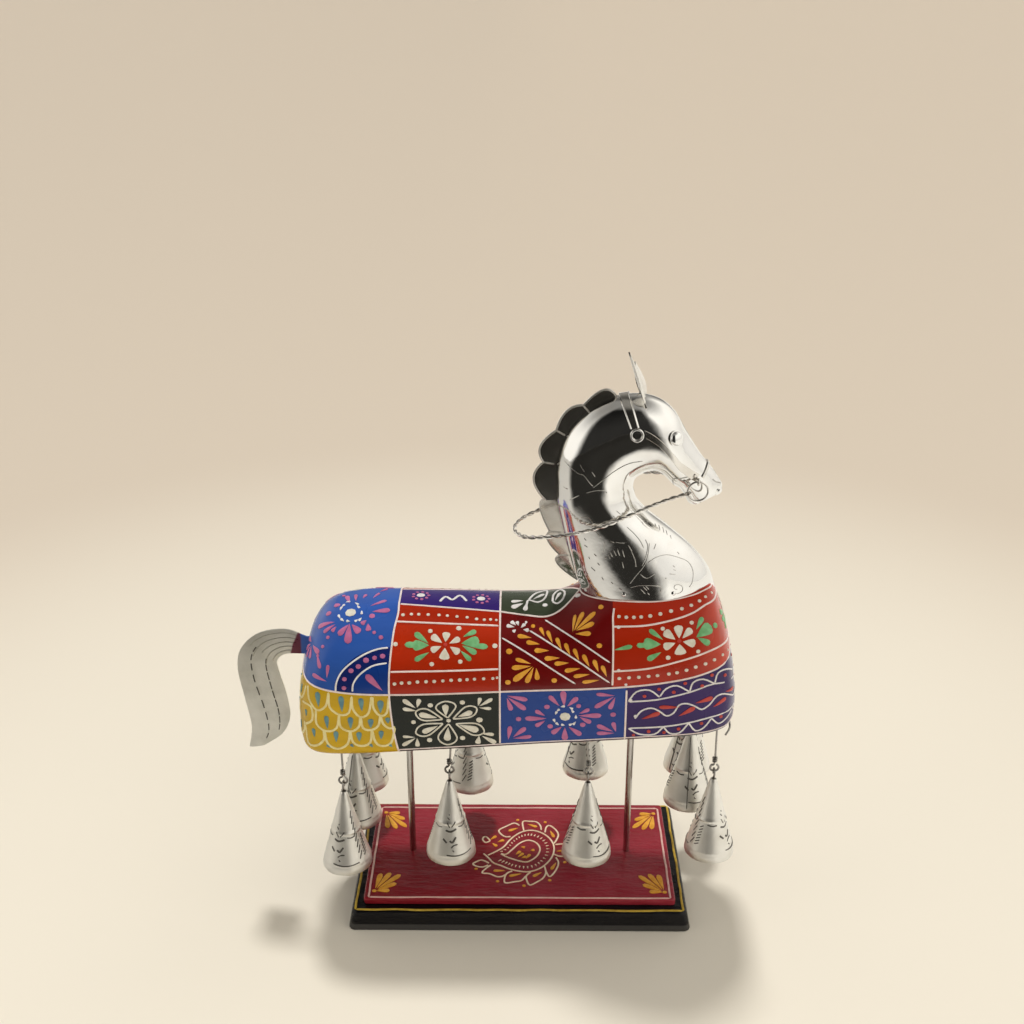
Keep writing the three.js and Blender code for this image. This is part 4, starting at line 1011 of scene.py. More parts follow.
coral_enamel = enamel("coral_enamel", (0.55, 0.05, 0.035), (0.42, 0.035, 0.025))
corals = bmesh.new()
paint_drops(corals, LOIN_STROKES)
for y in (-18, -6, 6, 18):
    for z in (158.4, 165):
        dot(corals, from_ahead(y, z), 1.1, on_torso, Vector((0, 1, 0)))
for y in (-12, 12):
    drop(corals, from_ahead(y - 5, 150.5), from_ahead(y + 4, 151.5), 1.5, on_torso)
paint_dots(corals, LOIN_DOTS + [(445.3, 644.7, 2.2), (679.2, 641, 2.2)])
piece("ornament_coral", corals, coral_enamel)

# The strip along the back has its own row, drawn once on the ridge.
ridge = bmesh.new()
RIDGE_FLOWERS = ((-56, 0), (-22, -2))
for x, y in RIDGE_FLOWERS:
    dot(ridge, from_above(x, y), 2.4, on_torso)
RIDGE_CURVE = [(-45, -6), (-42, -1), (-38, -4), (-34, 1), (-30, -5)]
line(ridge, [from_above(x, y) for x, y in RIDGE_CURVE], 0.8, on_torso)
paint_drops(ridge, WITHERS_DROPS)
paint_lines(ridge, WITHERS_LOOPS, 1.2)
paint_dots(ridge, WITHERS_DOTS)
piece("ornament_ridge", ridge, white_enamel)
ridge_rings = bmesh.new()
for x, y in RIDGE_FLOWERS:
    for k in range(9):
        spot = from_above(*round_place(x, y, 4.4, k / 9 * math.tau))
        dot(ridge_rings, spot, 1.0, on_torso)
piece("ornament_ridge_rings", ridge_rings, pink_enamel)


# Neck and head: two half shells pressed from thin sheet, nickel plated and polished, that close
# round a wooden stub with a seam along the nape and the throat. The muzzle is rounded over.
FIT = 0.3
# Nape point, throat point and half width of each section, from the middle of the neck's foot.
NECK_ROWS = [
    (-37.6, 0, 37.6, 0, 22.5), (-41.2, 9.4, 33.3, 12, 21.5), (-45.4, 24.8, 23.8, 24, 20),
    (-48.9, 39.9, 10.8, 35.6, 19), (-51.3, 51.9, -0.2, 44.3, 18), (-52.3, 63.7, -7.2, 52, 17),
    (-52.1, 72.4, -9.7, 58, 16.3), (-49.7, 83, -10.2, 61.8, 15.8), (-43.9, 94.8, -9.2, 65.6, 15.5),
    (-34.5, 104.4, -6.6, 67.9, 15.5), (-21.5, 111.2, -2.9, 69.7, 15.5),
    (-8.3, 112.9, 1.4, 70.3, 15.3), (2.3, 110.1, 5.2, 68.5, 15), (10.6, 103.4, 8.6, 65, 14.2),
    (16.9, 92.7, 11.5, 62.1, 12.6), (24.5, 80.8, 14.9, 59.8, 10.6), (29.8, 74, 17.8, 55.7, 9.2),
    (33.7, 69, 20.2, 51.5, 8.2), (36.2, 65.1, 23.5, 50.3, 7.4), (38, 61.9, 27.3, 53, 6.4),
    (37.7, 59.7, 31.8, 55.8, 4.4),
]
MUZZLE_ROW = len(NECK_ROWS) - 1
MUZZLE_SWELL = 2.2


def skin(row, degrees, side, proud=0.0):
    nape_x, nape_z, throat_x, throat_z, half = between_rows(NECK_ROWS, min(row, MUZZLE_ROW))
    nape, throat = Vector((nape_x, 0, nape_z)), Vector((throat_x, 0, throat_z))
    past = max(0, row - MUZZLE_ROW)
    shrink = math.cos(past * math.pi / 2)
    reach = (nape - throat) / 2
    angle = math.radians(degrees)
    tall = (reach.length + proud) * shrink
    wide = (half + proud - FIT / 2) * shrink
    point = (nape + throat) / 2 + reach.normalized() * tall * math.cos(angle)
    point += Vector((0.85, 0, -0.53)) * MUZZLE_SWELL * math.sin(past * math.pi / 2)
    point.y = side * (FIT / 2 + wide * math.sin(angle))
    return (point + Vector((SEAT_X, 0, SEAT_Z))) * MM


def skin_normal(row, degrees, side):
    here = skin(row, degrees, side)
    along = skin(row + 0.05, degrees, side) - here
    around = skin(row, degrees + 1, side) - here
    normal = along.cross(around).normalized()
    return normal if normal.dot(skin(row, degrees, side, 1) - here) > 0 else -normal


NOSTRIL_ROW, NOSTRIL_ANGLE = 18.9, 55
MOUTH_ANGLE, MOUTH_ROWS = 132, (15.3, 18.6)


def pressed(row, degrees, side):
    sag = 0.5 * noise.noise(Vector((row * 0.9, degrees / 22, side * 3)))
    nostril = math.exp(-(((row - NOSTRIL_ROW) / 0.35) ** 2) - ((degrees - NOSTRIL_ANGLE) / 11) ** 2)
    mouth = math.exp(-(((degrees - MOUTH_ANGLE) / 7) ** 2))
    mouth *= max(0, min(1, (row - MOUTH_ROWS[0]) * 1.2, (MOUTH_ROWS[1] - row) * 2))
    return skin(row, degrees, side, 0.35 * sag - 1.6 * nostril - 1.2 * mouth)


polished_nickel = worn_metal(
    "polished_nickel", (0.87, 0.86, 0.83), (0.78, 0.75, 0.7), 0.045, dents=0.00015, spread=0.08
)
SIDES = (("left", 1), ("right", -1))


def face_out(bm, side):
    bmesh.ops.recalc_face_normals(bm, faces=bm.faces)
    if sum(f.normal.y * side for f in bm.faces) < 0:
        bmesh.ops.reverse_faces(bm, faces=bm.faces)


for label, side in SIDES:
    shell = bmesh.new()
    sheet_of(shell, 168, 48, lambda u, v: pressed(u * (MUZZLE_ROW + 1), v * 180, side))
    bmesh.ops.remove_doubles(shell, verts=shell.verts, dist=1e-6)
    face_out(shell, side)
    shell_skin = BVHTree.FromBMesh(shell)
    bmesh.ops.solidify(shell, geom=shell.faces[:], thickness=1.0 * MM)
    node = f"neck_shell_{label}"
    piece(f"neck_half_{label}", shell, polished_nickel, nodes=[node])


# Engraving on the neck: short cuts, curls and sprigs chased by hand into the plated sheet. The cuts
# leave a soft burr that shows dark on a bright part and bright on a dark part.
on_shell = lying_on(shell_skin)


def sighted_neck(u, v):
    return sighted(u, v, shell_skin)


# Each cut as across, down of its points, as seen from the viewing point.
CUTS = [
    [(580.2, 464.5), (584.6, 472.3)], [(591.3, 471.2), (595.2, 476.8)],
    [(564, 460), (577.4, 472.9), (583.5, 475.1), (589.6, 482.9), (593, 486.3)],
    [(593, 487.9), (603, 480.1), (616.4, 470.1), (629.8, 463.4), (643.2, 461.2)],
    [(586.3, 493), (595.2, 490.7), (605.3, 490.7)], [(569, 500.2), (579.6, 495.2)],
    [(563.4, 486.8), (567.9, 489.3)], [(580.7, 517.5), (587.4, 517), (591.9, 521.4), (593, 524.2)],
    [(595.8, 531.5), (600.8, 537.6)], [(604.2, 541.5), (604.7, 547.1), (603, 552.7)],
    [(610.3, 541), (614.2, 542.6)], [(615.3, 542.1), (624.8, 543.2)],
    [(628.1, 544.9), (632.1, 551.6)], [(607.5, 553.8), (610.3, 558.8)],
    [(609.7, 551), (612.5, 557.1)], [(613.1, 549.3), (616.4, 556)], [(617, 548.2), (619.8, 556)],
    [(622, 549.3), (624.5, 557.4)], [(622, 561.6), (623.7, 568.3)],
    [(630.9, 550.4), (634.8, 559.4), (636, 567.2)],
    [(645.4, 539.3), (647.7, 546), (646, 556), (642.1, 566.1)],
    [(649.4, 542.6), (647.5, 557.1), (643.2, 567.2), (636.5, 575), (629.8, 583.9)],
    [(639.9, 573.9), (646.6, 578.3), (654.9, 573.9)],
    [(630.4, 587.8), (638.8, 585.6), (652.1, 585.6), (660, 586.7)], [(639.9, 588.4), (645.4, 594)],
    [(642.7, 586.2), (647.1, 590.8)], [(644.9, 585.3), (649, 589.5)],
    [(647.1, 592.3), (649.7, 595.1)], [(655.5, 585), (661.1, 587.5), (660, 592.6)],
    [(616.4, 510.8), (620.9, 514.7)], [(613.1, 515.8), (617.5, 519.8)],
    [(625.4, 509.2), (628.1, 511.6)], [(627, 527), (633.2, 532.6), (639.9, 540.4), (643.8, 548.2)],
    [(646.3, 518.6), (647.9, 522.8)], [(641.9, 521.4), (643.4, 525)],
    [(652.4, 524.2), (653.3, 527.6)], [(654.9, 523.4), (656.3, 527.2)],
    [(658.6, 524.6), (660, 530.6)], [(662.5, 526.8), (664, 532.8)], [(665.9, 529.9), (667.3, 535)],
    [(670.2, 535), (671.3, 538.7)], [(656, 543.5), (653.8, 549.6)],
    [(677.3, 551.8), (679.4, 554.2)],
    [(647.7, 562.7), (656.6, 557.1), (666.7, 554.7), (676.7, 556.9), (687.9, 561.6), (692.9, 570.5),
     (692.3, 581.7), (689, 587.3)],
    [(672.8, 565.5), (675, 567.2)], [(673.3, 569.6), (675.8, 570.5)],
    [(669.4, 573.9), (675.8, 574.6)], [(588.5, 556.6), (589.9, 559.2)],
    [(593.9, 553.6), (596.6, 556.2)], [(584.3, 545.1), (587.6, 547.3)],
    [(591.1, 567), (595.4, 571.4)], [(601.7, 577), (603.7, 580.4)],
    [(584.1, 538.2), (586.3, 540.6)], [(597.5, 562.7), (599.7, 565.5)],
    [(610.8, 581.7), (613.3, 583.9)], [(618.7, 588.4), (622, 589.5)],
]
cuts = bmesh.new()
for points in CUTS:
    line(cuts, [sighted_neck(u, v) for u, v in points], 0.25, on_shell, 0.16, fine=3)
CURL_AT = (677, 588)
reaches = [1.2 + 0.5 * k for k in range(14)]
curl = [sighted_neck(*round_place(*CURL_AT, reach, reach * 1.1, 0.8)) for reach in reaches]
line(cuts, curl, 0.23, on_shell, 0.15, fine=2)
for u, v in [(665.9, 578.3), (606.4, 492.4), (605.3, 557.7)]:
    dot(cuts, sighted_neck(u, v), 0.5, on_shell, height=0.16)
# The mouth and the nostril are cut deeper.
MOUTH_CUT = [(668.5, 480.5), (673, 479.2), (680, 478.6), (688, 477)]
NOSTRIL_CUT = [(712.6, 479), (716, 481.8), (721, 483)]
for points in (MOUTH_CUT, NOSTRIL_CUT):
    line(cuts, [sighted_neck(u, v) for u, v in points], 0.42, on_shell, 0.2, fine=3)
both_sides(cuts)
chased_nickel = worn_metal("chased_nickel", (0.5, 0.48, 0.44), (0.34, 0.32, 0.28), 0.2)
piece("neck_cuts", cuts, chased_nickel)


# Nails: four round steel nails, two on each side, with low domed heads. They go through the foot of
# the shells into the wooden stub.
def whole_turn(bm, geom, steps):
    bmesh.ops.spin(
        bm, geom=geom, cent=(0, 0, 0), axis=(0, 0, 1), angle=math.tau, steps=steps, use_merge=True
    )
    bmesh.ops.remove_doubles(bm, verts=bm.verts, dist=1e-7)


def turned(bm, profile, matrix, steps):
    verts = [bm.verts.new((r * MM, 0, h * MM)) for r, h in profile]
    edges = [bm.edges.new(pair) for pair in zip(verts, verts[1:])]
    whole_turn(bm, verts + edges, steps)
    bmesh.ops.transform(bm, matrix=matrix, verts=bm.verts)


def facing(direction, place):
    return Matrix.Translation(place) @ direction.to_track_quat("Z", "Y").to_matrix().to_4x4()


NAIL_ROW, NAIL_ANGLES = 0.5, (("rear", 70), ("front", 112))
NAIL_PROFILE = [
    (0, -9), (0.35, -8.2), (0.6, -7), (0.6, 0), (1.1, 0), (1.05, 0.2), (0.8, 0.36), (0.4, 0.44),
    (0, 0.46),
]
for label, side in SIDES:
    for end, degrees in NAIL_ANGLES:
        nail = bmesh.new()
        seat = skin(NAIL_ROW, degrees, side, FIT)
        turned(nail, NAIL_PROFILE, facing(skin_normal(NAIL_ROW, degrees, side), seat), 20)
        node = f"neck_nail_{label}_{end}"
        piece(f"nail_{label}_{end}", nail, polished_nickel, nodes=[node])


# Mane: one strip of sheet cut to seven lobes and held in the seam of the nape. Each lobe is pressed
# a little hollow and has a raised rim, and the lobes are bent to slightly different angles.
MANE_ENDS = [
    (-21.2, 112.1), (-38.3, 106.7), (-52.4, 92.5), (-59.1, 74.2), (-57.8, 51.9), (-55.2, 31.5),
    (-49.2, 17.5), (-39.2, 3.5),
]
MANE_LOBES = [
    (-28, 115.3), (-47.2, 103.4), (-61, 83.3), (-64.6, 64), (-60.8, 45.5), (-56.3, 25.5),
    (-50.7, 11.5),
]
MANE_ROOT, MANE_SHEET, MANE_DISH = 3, 0.8, 0.15
# How far each lobe is bent out of line, per length.
MANE_BENDS = (-0.03, 0, 0.02, 0.02, 0.5, 0.5, 0.5)


def seated(x, z):
    return at(SEAT_X + x, 0, SEAT_Z + z)


def nape_row(point):
    rows = [0.35 + k * 0.05 for k in range(195)]
    return min(rows, key=lambda row: (skin(row, 0, 1) - point).length)


def lobe_edge(k, share):
    start, end, tip = seated(*MANE_ENDS[k]), seated(*MANE_ENDS[k + 1]), seated(*MANE_LOBES[k])
    pull = 2 * tip - (start + end) / 2
    return start * (1 - share) ** 2 + pull * 2 * share * (1 - share) + end * share**2


mane_rows = [nape_row(seated(*end)) for end in MANE_ENDS]
mane = bmesh.new()


def lobe_point(k, share, out):
    row = mane_rows[k] + (mane_rows[k + 1] - mane_rows[k]) * share
    root = skin(row, 0, 1, -MANE_ROOT)
    point = root.lerp(lobe_edge(k, share), out)
    hollow = math.sin(math.pi * share) * math.sin(math.pi * min(1, out))
    clear = max(0, (point - root).length - MANE_ROOT * MM)
    point.y = -MANE_DISH * hollow * MM + MANE_BENDS[k] * clear
    return point


for k in range(len(MANE_LOBES)):
    sheet_of(mane, 18, 10, lambda u, v: lobe_point(k, u, v))
bmesh.ops.remove_doubles(mane, verts=mane.verts, dist=2e-5)
bmesh.ops.recalc_face_normals(mane, faces=mane.faces)
bmesh.ops.solidify(mane, geom=mane.faces[:], thickness=MANE_SHEET * MM)
bmesh.ops.translate(mane, vec=(0, -MANE_SHEET / 2 * MM, 0), verts=mane.verts)
plated_sheet = worn_metal(
    "plated_sheet", (0.78, 0.75, 0.69), (0.62, 0.57, 0.5), 0.09, dents=0.0001, spread=0.12
)
piece("mane_strip", mane, plated_sheet, nodes=["mane"])


# Mane rims: the turned-up edge that the press leaves round each lobe, and the fold between two
# lobes. It is part of the plated sheet, rubbed to a satin shine.
def tube(bm, places, radius, sides=8):
    steps = len(places) - 1
    frames, across = [], Vector((0, 0, 0))
    for k in range(steps + 1):
        ahead = (places[min(k + 1, steps)] - places[max(k - 1, 0)]).normalized()
        across = across - ahead * across.dot(ahead)
        across = across if across.length > 1e-6 else ahead.orthogonal()
        across = across.normalized()
        frames.append((across, ahead.cross(across)))

    def place(k, ring):
        ring = ring * radius * MM
        return places[k] + frames[k][0] * ring.x + frames[k][1] * ring.y

    laid(bm, steps, sides, place)


rims = bmesh.new()
for k in range(len(MANE_LOBES)):
    edge = [lobe_point(k, s / 20, 0.97) for s in range(21)]
    fold = [lobe_point(k, 0, 0.4 + s * 0.11) for s in range(5)]
    tube(rims, capped(fold + edge), 0.7, 6)
rim_nickel = worn_metal("rim_nickel", (0.86, 0.83, 0.77), (0.74, 0.7, 0.63), 0.4)
piece("mane_rims", rims, rim_nickel)


# Ears: two leaf-shaped sheets, plated, hollowed along the middle and chased with veins. Each stands
# on a tab in a slot of its half shell.
EAR_HALF, EAR_FOOT, EAR_SHEET, EAR_TAB = 6, 3.5, 0.8, 3
EAR_ROW, EAR_ANGLE = 11.1, 24
# Height of each ear, how far it leans back, how far it turns inwards and how far it splays out.
EARS = {"left": (18, 15, 30, 25), "right": (28, 19, -5, 0)}


def ear_point(u, v, height):
    across = u * 2 - 1
    if v < 0.08:
        return at(across * EAR_FOOT, -EAR_TAB * (1 - v / 0.08), 0)
    s = (v - 0.08) / 0.92
    lower, higher = 3 * s * (1 - s) ** 2, 3 * s**2 * (1 - s)
    out = EAR_FOOT * (1 - s) ** 3 + EAR_HALF * (1.3 * lower + 0.9 * higher)
    tall = height * (0.3 * lower + 0.6 * higher + s**3)
    return at(across * out, tall, 1.1 * (across**2 - 0.4) * out / EAR_HALF)


satin_sheet = worn_metal("satin_sheet", (0.8, 0.77, 0.71), (0.62, 0.58, 0.51), 0.16, dents=0.0001)
for label, side in SIDES:
    height, lean, turn, splay = EARS[label]
    turns = [(-side * splay, "X"), (-side * turn, "Z"), (-lean, "Y"), (90, "Z"), (90, "X")]
    stand = Matrix.Translation(skin(EAR_ROW, EAR_ANGLE, side))
    for degrees, axis in turns:
        stand = stand @ Matrix.Rotation(math.radians(degrees), 4, axis)
    ear = bmesh.new()
    sheet_of(ear, 12, 26, lambda u, v: ear_point(u, v, height))
    bmesh.ops.remove_doubles(ear, verts=ear.verts, dist=1e-6)
    bmesh.ops.recalc_face_normals(ear, faces=ear.faces)
    bmesh.ops.solidify(ear, geom=ear.faces[:], thickness=EAR_SHEET * MM)
    bmesh.ops.transform(ear, matrix=stand, verts=ear.verts)
    piece(f"ear_leaf_{label}", ear, satin_sheet, nodes=[f"ear_{label}"])
    veins = bmesh.new()
    for tall in (3.5, 6.5, 9.5, 12.5):
        for way in (-1, 1):
            path = []
            for w in (0.4, 1.6, 2.8, 4):
                proud = 1.1 * ((w / EAR_HALF) ** 2 - 0.4) + 0.45
                path.append(stand @ at(way * w * (1 - tall / 34), tall + w * 0.7, proud))
            tube(veins, capped(path), 0.3, 6)
    piece(f"ear_veins_{label}", veins, chased_nickel)


# Eyes: two domed studs of polished nickel with a flat rim, turned from bar. The shank of each is
# pressed through a hole in the shell.
EYE_ROW, EYE_ANGLE = 13.05, 63
EYE_PROFILE = [
    (0, -3), (1.2, -2.9), (1.2, 0), (4.2, 0), (4.4, 0.15), (4.4, 0.4), (4.25, 0.55), (3.95, 0.58),
    (3.75, 0.5),
]
DOME_TURNS = [k * math.pi / 16 for k in range(9)]
EYE_PROFILE += [(3.7 * math.cos(turn), 0.55 + 2.1 * math.sin(turn)) for turn in DOME_TURNS]
for label, side in SIDES:
    eye = bmesh.new()
    seat = skin(EYE_ROW, EYE_ANGLE, side, FIT)
    turned(eye, EYE_PROFILE, facing(skin_normal(EYE_ROW, EYE_ANGLE, side), seat), 36)
    piece(f"eye_stud_{label}", eye, polished_nickel, nodes=[f"eye_{label}"])


# Bridle bands: the crown band over the poll and the noseband over the muzzle, flat strips of sheet
# bent to the head, with their two edges rolled.
STRAP_SHEET, WIRE = 0.6, 0.6


def band_point(row, degrees, proud):
    return skin(row, abs(degrees), -1 if degrees < 0 else 1, proud)


def band(name, node, rows, reach, edge):
    bm = bmesh.new()
    low, high = rows
    sheet_of(bm, 4, 72, lambda u, v: band_point(low + (high - low) * u, (v * 2 - 1) * reach, FIT))
    bmesh.ops.recalc_face_normals(bm, faces=bm.faces)
    bmesh.ops.solidify(bm, geom=bm.faces[:], thickness=-STRAP_SHEET * MM)
    piece(name, bm, plated_sheet, nodes=[node])
    rolled = bmesh.new()
    for row in rows:
        path = [band_point(row, (k / 24 - 1) * reach, FIT + STRAP_SHEET * 0.7) for k in range(49)]
        tube(rolled, capped(path), edge, 6)
    piece(name + "_edges", rolled, polished_nickel)


def section_reach(row):
    return (skin(row, 0, 1) - skin(row, 180, 1)).length / 2 / MM


CHEEK_ROW, CHEEK_RADIUS = 10.37, 3.1
STRAP_ANGLE, STRAP_SAG, STRAP_WIDTH, STRAP_LAST = 79, 18, 4, 15.5
cheek_edge = CHEEK_RADIUS + WIRE + FIT
crown_reach = STRAP_ANGLE - math.degrees(cheek_edge / section_reach(CHEEK_ROW))
band("crown_strip", "crown_band", (10.2, 10.55), crown_reach, 0.5)
band("nose_strip", "noseband", (15.87, 16.03), 66, 0.22)


# Cheek straps: a strip of sheet from the cheek ring to the mouth, with a wire lug at its lower end
# that carries the bit ring. The cheek ring joins it to the crown band.
def ring(bm, radius, wire, matrix, steps=40, sides=12):
    made = bmesh.ops.create_circle(bm, segments=sides, radius=wire * MM)
    verts = made["verts"]
    bmesh.ops.rotate(bm, cent=(0, 0, 0), matrix=Matrix.Rotation(math.pi / 2, 3, "X"), verts=verts)
    bmesh.ops.translate(bm, vec=(radius * MM, 0, 0), verts=verts)
    edges = list({edge for vert in verts for edge in vert.link_edges})
    whole_turn(bm, verts + edges, steps)
    bmesh.ops.transform(bm, matrix=matrix, verts=bm.verts)


def join(bm, other):
    mesh = bpy.data.meshes.new("joined")
    other.to_mesh(mesh)
    other.free()
    bm.from_mesh(mesh)
    bpy.data.meshes.remove(mesh)


cheek_pitch = (skin(CHEEK_ROW, STRAP_ANGLE, 1) - skin(CHEEK_ROW + 1, STRAP_ANGLE, 1)).length / MM
strap_first = CHEEK_ROW + cheek_edge / cheek_pitch
LUG = 2 * WIRE + FIT + 0.1
BIT_ROW, BIT_ANGLE, BIT_RADIUS = 16.2, 99, 5.4
bit_out = skin(STRAP_LAST, 90, 1).y / MM + FIT + LUG + WIRE
bit_at = skin(BIT_ROW, BIT_ANGLE, 1) / MM
# How far the straps lie off the shells.
STRAP_LIE = 0.1


def bit_centre(side):
    return at(bit_at.x, side * bit_out, bit_at.z)


def strap_point(share, across, side, proud):
    row = strap_first + (STRAP_LAST - strap_first) * share
    spread = math.degrees(STRAP_WIDTH / 2 / section_reach(row))
    middle = STRAP_ANGLE + STRAP_SAG * math.sin(math.pi * share)
    return skin(row, middle + spread * (across * 2 - 1), side, proud)


for label, side in SIDES:
    strap = bmesh.new()
    sheet_of(strap, 40, 4, lambda u, v: strap_point(u, v, side, STRAP_LIE))
    face_out(strap, side)
    bmesh.ops.solidify(strap, geom=strap.faces[:], thickness=-STRAP_SHEET * MM)
    for across in (0, 1):
        edge = [strap_point(k / 30, across, side, STRAP_LIE + STRAP_SHEET * 0.5) for k in range(31)]
        tube(strap, capped(edge), 0.22, 6)
    lug_at = bit_centre(side) + at(0, 0, BIT_RADIUS)
    start = skin(STRAP_LAST - 0.35, STRAP_ANGLE, side, FIT + WIRE)
    end = lug_at - at(0, side * LUG, 0)
    tube(strap, capped([start.lerp(end, k / 4) for k in range(5)]), WIRE, 8)
    lug = bmesh.new()
    ring(lug, LUG, WIRE, facing(Vector((1, 0, 0)), lug_at), 24)
    join(strap, lug)
    node = f"cheek_strap_{label}"
    piece(f"cheek_strip_{label}", strap, plated_sheet, nodes=[node])
    cheek = bmesh.new()
    cheek_at = skin(CHEEK_ROW, STRAP_ANGLE, side, FIT + WIRE)
    ring(cheek, CHEEK_RADIUS, WIRE, facing(skin_normal(CHEEK_ROW, STRAP_ANGLE, side), cheek_at))
    node = f"cheek_ring_{label}"
    piece(f"cheek_wire_{label}", cheek, polished_nickel, nodes=[node])


# Bit rings: two rings of bright steel wire, bent round and soldered shut. They turn freely in the
# lugs of the cheek straps.
bright_wire = worn_metal("bright_wire", (0.8, 0.77, 0.72), (0.55, 0.5, 0.44), 0.12)
for label, side in SIDES:
    bit = bmesh.new()
    ring(bit, BIT_RADIUS, WIRE, facing(Vector((0, 1, 0)), bit_centre(side)), 56)
    node = f"bit_ring_{label}"
    piece(f"bit_wire_{label}", bit, bright_wire, node, [node])


# Rein: two wires twisted together into one stiff loop round the neck. Each end is bent into an eye
# that rides on a bit ring.
REIN_SLOPE, STRAND, TWIST = 15, 0.6, 10
# Behind the bit, outwards, above the bit on the right, and how much higher the left strand is bent.
REIN_POINTS = [
    (16, 1.8, -4.2, 4), (27, 4, -7.8, 7), (40, 6.6, -13, 8), (54, 8, -18.2, 7), (68, 7.8, -21.8, 4),
    (82, 6, -24.4, 1), (92, 1.2, -26.4, 0), (96.6, -6, -27.4, 0),
]
REIN_TIP = (98, -27.8)
slope = math.radians(REIN_SLOPE)
towards_rein = Vector((-math.cos(slope), 0, -math.sin(slope)))


def rein_end(side, reach):
    return bit_centre(side) + towards_rein * reach * MM


def rein_strand(side):
    bends = [
        at(bit_at.x - back, side * (bit_out + out), bit_at.z + up + (higher if side > 0 else 0))
        for back, out, up, higher in REIN_POINTS
    ]
    return [rein_end(side, BIT_RADIUS + LUG + 0.3), *bends]


rein_tip = at(bit_at.x - REIN_TIP[0], 0, bit_at.z + REIN_TIP[1])
rein_path = smooth_path([*rein_strand(1), rein_tip, *reversed(rein_strand(-1))], 24)
run = [0.0]
for before, after in zip(rein_path, rein_path[1:]):
    run.append(run[-1] + (after - before).length / MM)
rein = bmesh.new()
for start in (0, math.pi):
    strand = []
    for k, place in enumerate(rein_path):
        ahead = (rein_path[min(k + 1, len(rein_path) - 1)] - rein_path[max(k - 1, 0)]).normalized()
        across = ahead.cross(Vector((0, 0, 1))).normalized()
        turn = run[k] / TWIST * math.tau + start
        aside = across * math.cos(turn) + ahead.cross(across) * math.sin(turn)
        strand.append(place + aside * STRAND * MM)
    tube(rein, strand, STRAND, 8)
for side in (1, -1):
    eye = bmesh.new()
    axis = Vector((towards_rein.z, 0, -towards_rein.x))
    ring(eye, LUG, WIRE, facing(axis, rein_end(side, BIT_RADIUS)), 24)
    join(rein, eye)
piece("rein_wires", rein, bright_wire, "rein", ["rein"])


# Tail: a cut and bent sheet with a dull plated face, set by a tab in a slot of the rump. Two rows
# of dashes are punched along it, and its root is painted with the rump.
TAIL_X, TAIL_Z, TAIL_TAB, TAIL_SHEET = -122, 160, 12, 1.0
TAIL_OUTER = [
    (0, 5.5), (-12.2, 10.3), (-27.8, 7.6), (-38.3, -2.2), (-41.2, -15.5), (-38.7, -35),
    (-36.1, -54.2), (-38.4, -68.8),
]
TAIL_INNER = [
    (0, -5.5), (-12.7, -5.7), (-17.9, -10.1), (-17.5, -16.7), (-14, -33.5), (-13, -47.8),
    (-18.1, -59.3), (-29.4, -67.7),
]


def tail_point(t, across):
    if t < 0:
        spot = Vector((-t * TAIL_TAB, 5.5 - 11 * across))
    else:
        spot = between_rows(TAIL_OUTER, t).lerp(between_rows(TAIL_INNER, t), across)
    bow = 0.7 * math.sin(math.pi * across) * min(1, max(0, t) / 2)
    return at(TAIL_X + spot.x, -bow, TAIL_Z + spot.y)


tail = bmesh.new()
sheet_of(tail, 96, 14, lambda u, v: tail_point(u * 8 - 1, v))
bmesh.ops.remove_doubles(tail, verts=tail.verts, dist=1e-6)
bmesh.ops.recalc_face_normals(tail, faces=tail.faces)
bmesh.ops.solidify(tail, geom=tail.faces[:], thickness=TAIL_SHEET * MM)
middle_y = sum(v.co.y for v in tail.verts) / len(tail.verts)
bmesh.ops.translate(tail, vec=(0, -middle_y - 0.3 * MM, 0), verts=tail.verts)
dull_plate, place = finish("dull_plate")
fore, _, up = (part * 1000 for part in place.axes())
blotch = place.grain(55, 4)
painted = (fore + blotch * 7 - (up - 154) * 0.41).between(-129.8, -128.8) * (up > 145)
by_rump = (fore + blotch * 4).between(-124.2, -122.8)
root_colour = by_rump.pick((0.13, 0.012, 0.03), (0.03, 0.1, 0.36))
plate_colour = blotch.between(0.3, 0.8).pick((0.8, 0.775, 0.69), (0.62, 0.6, 0.52))
coat(dull_plate, {
    "Base Color": painted.pick(plate_colour, root_colour),
    "Metallic": 0.8 - painted * 0.8,
    "Roughness": blotch * 0.2 + 0.36,
    "Normal": (blotch + place.grain(300, 2) * 0.2).relief(0.0005),
})
piece("tail_sheet", tail, dull_plate, nodes=["tail"])

# Hair lines pressed along the bend: the share across the tail, and where each starts and ends.
HAIR_LINES = [(0.14, 0.5, 2.6), (0.32, 0.4, 3), (0.5, 0.5, 2.5), (0.68, 0.6, 2.9), (0.86, 0.7, 2.4)]
hair = bmesh.new()
for across, first, last in HAIR_LINES:
    path = [tail_point(first + (last - first) * s / 16, across) for s in range(17)]
    for y in (-0.62, 0.6):
        tube(hair, capped([point + at(0, y, 0) for point in path]), 0.3, 6)
piece("tail_hair", hair, dull_plate)

punched = bmesh.new()
# Each row of dashes: where it starts and ends along the tail, and across it at both ends.
for first, last, near, far_end in [(2.5, 6.6, 0.28, 0.66), (2.7, 5.9, 0.66, 0.84)]:
    for k in range(9):
        start = first + (last - first) * k / 9
        for y in (-0.75, 0.7):
            path = []
            for s in range(5):
                t = start + s * 0.07
                across = near + (far_end - near) * ((t - first) / (last - first)) ** 2
                path.append(tail_point(t, across) + at(0, y, 0))
            tube(punched, capped(path), 0.3, 6)
punch_mark = worn_metal("punch_mark", (0.16, 0.15, 0.13), (0.1, 0.09, 0.08), 0.35)
piece("tail_dashes", punched, punch_mark)


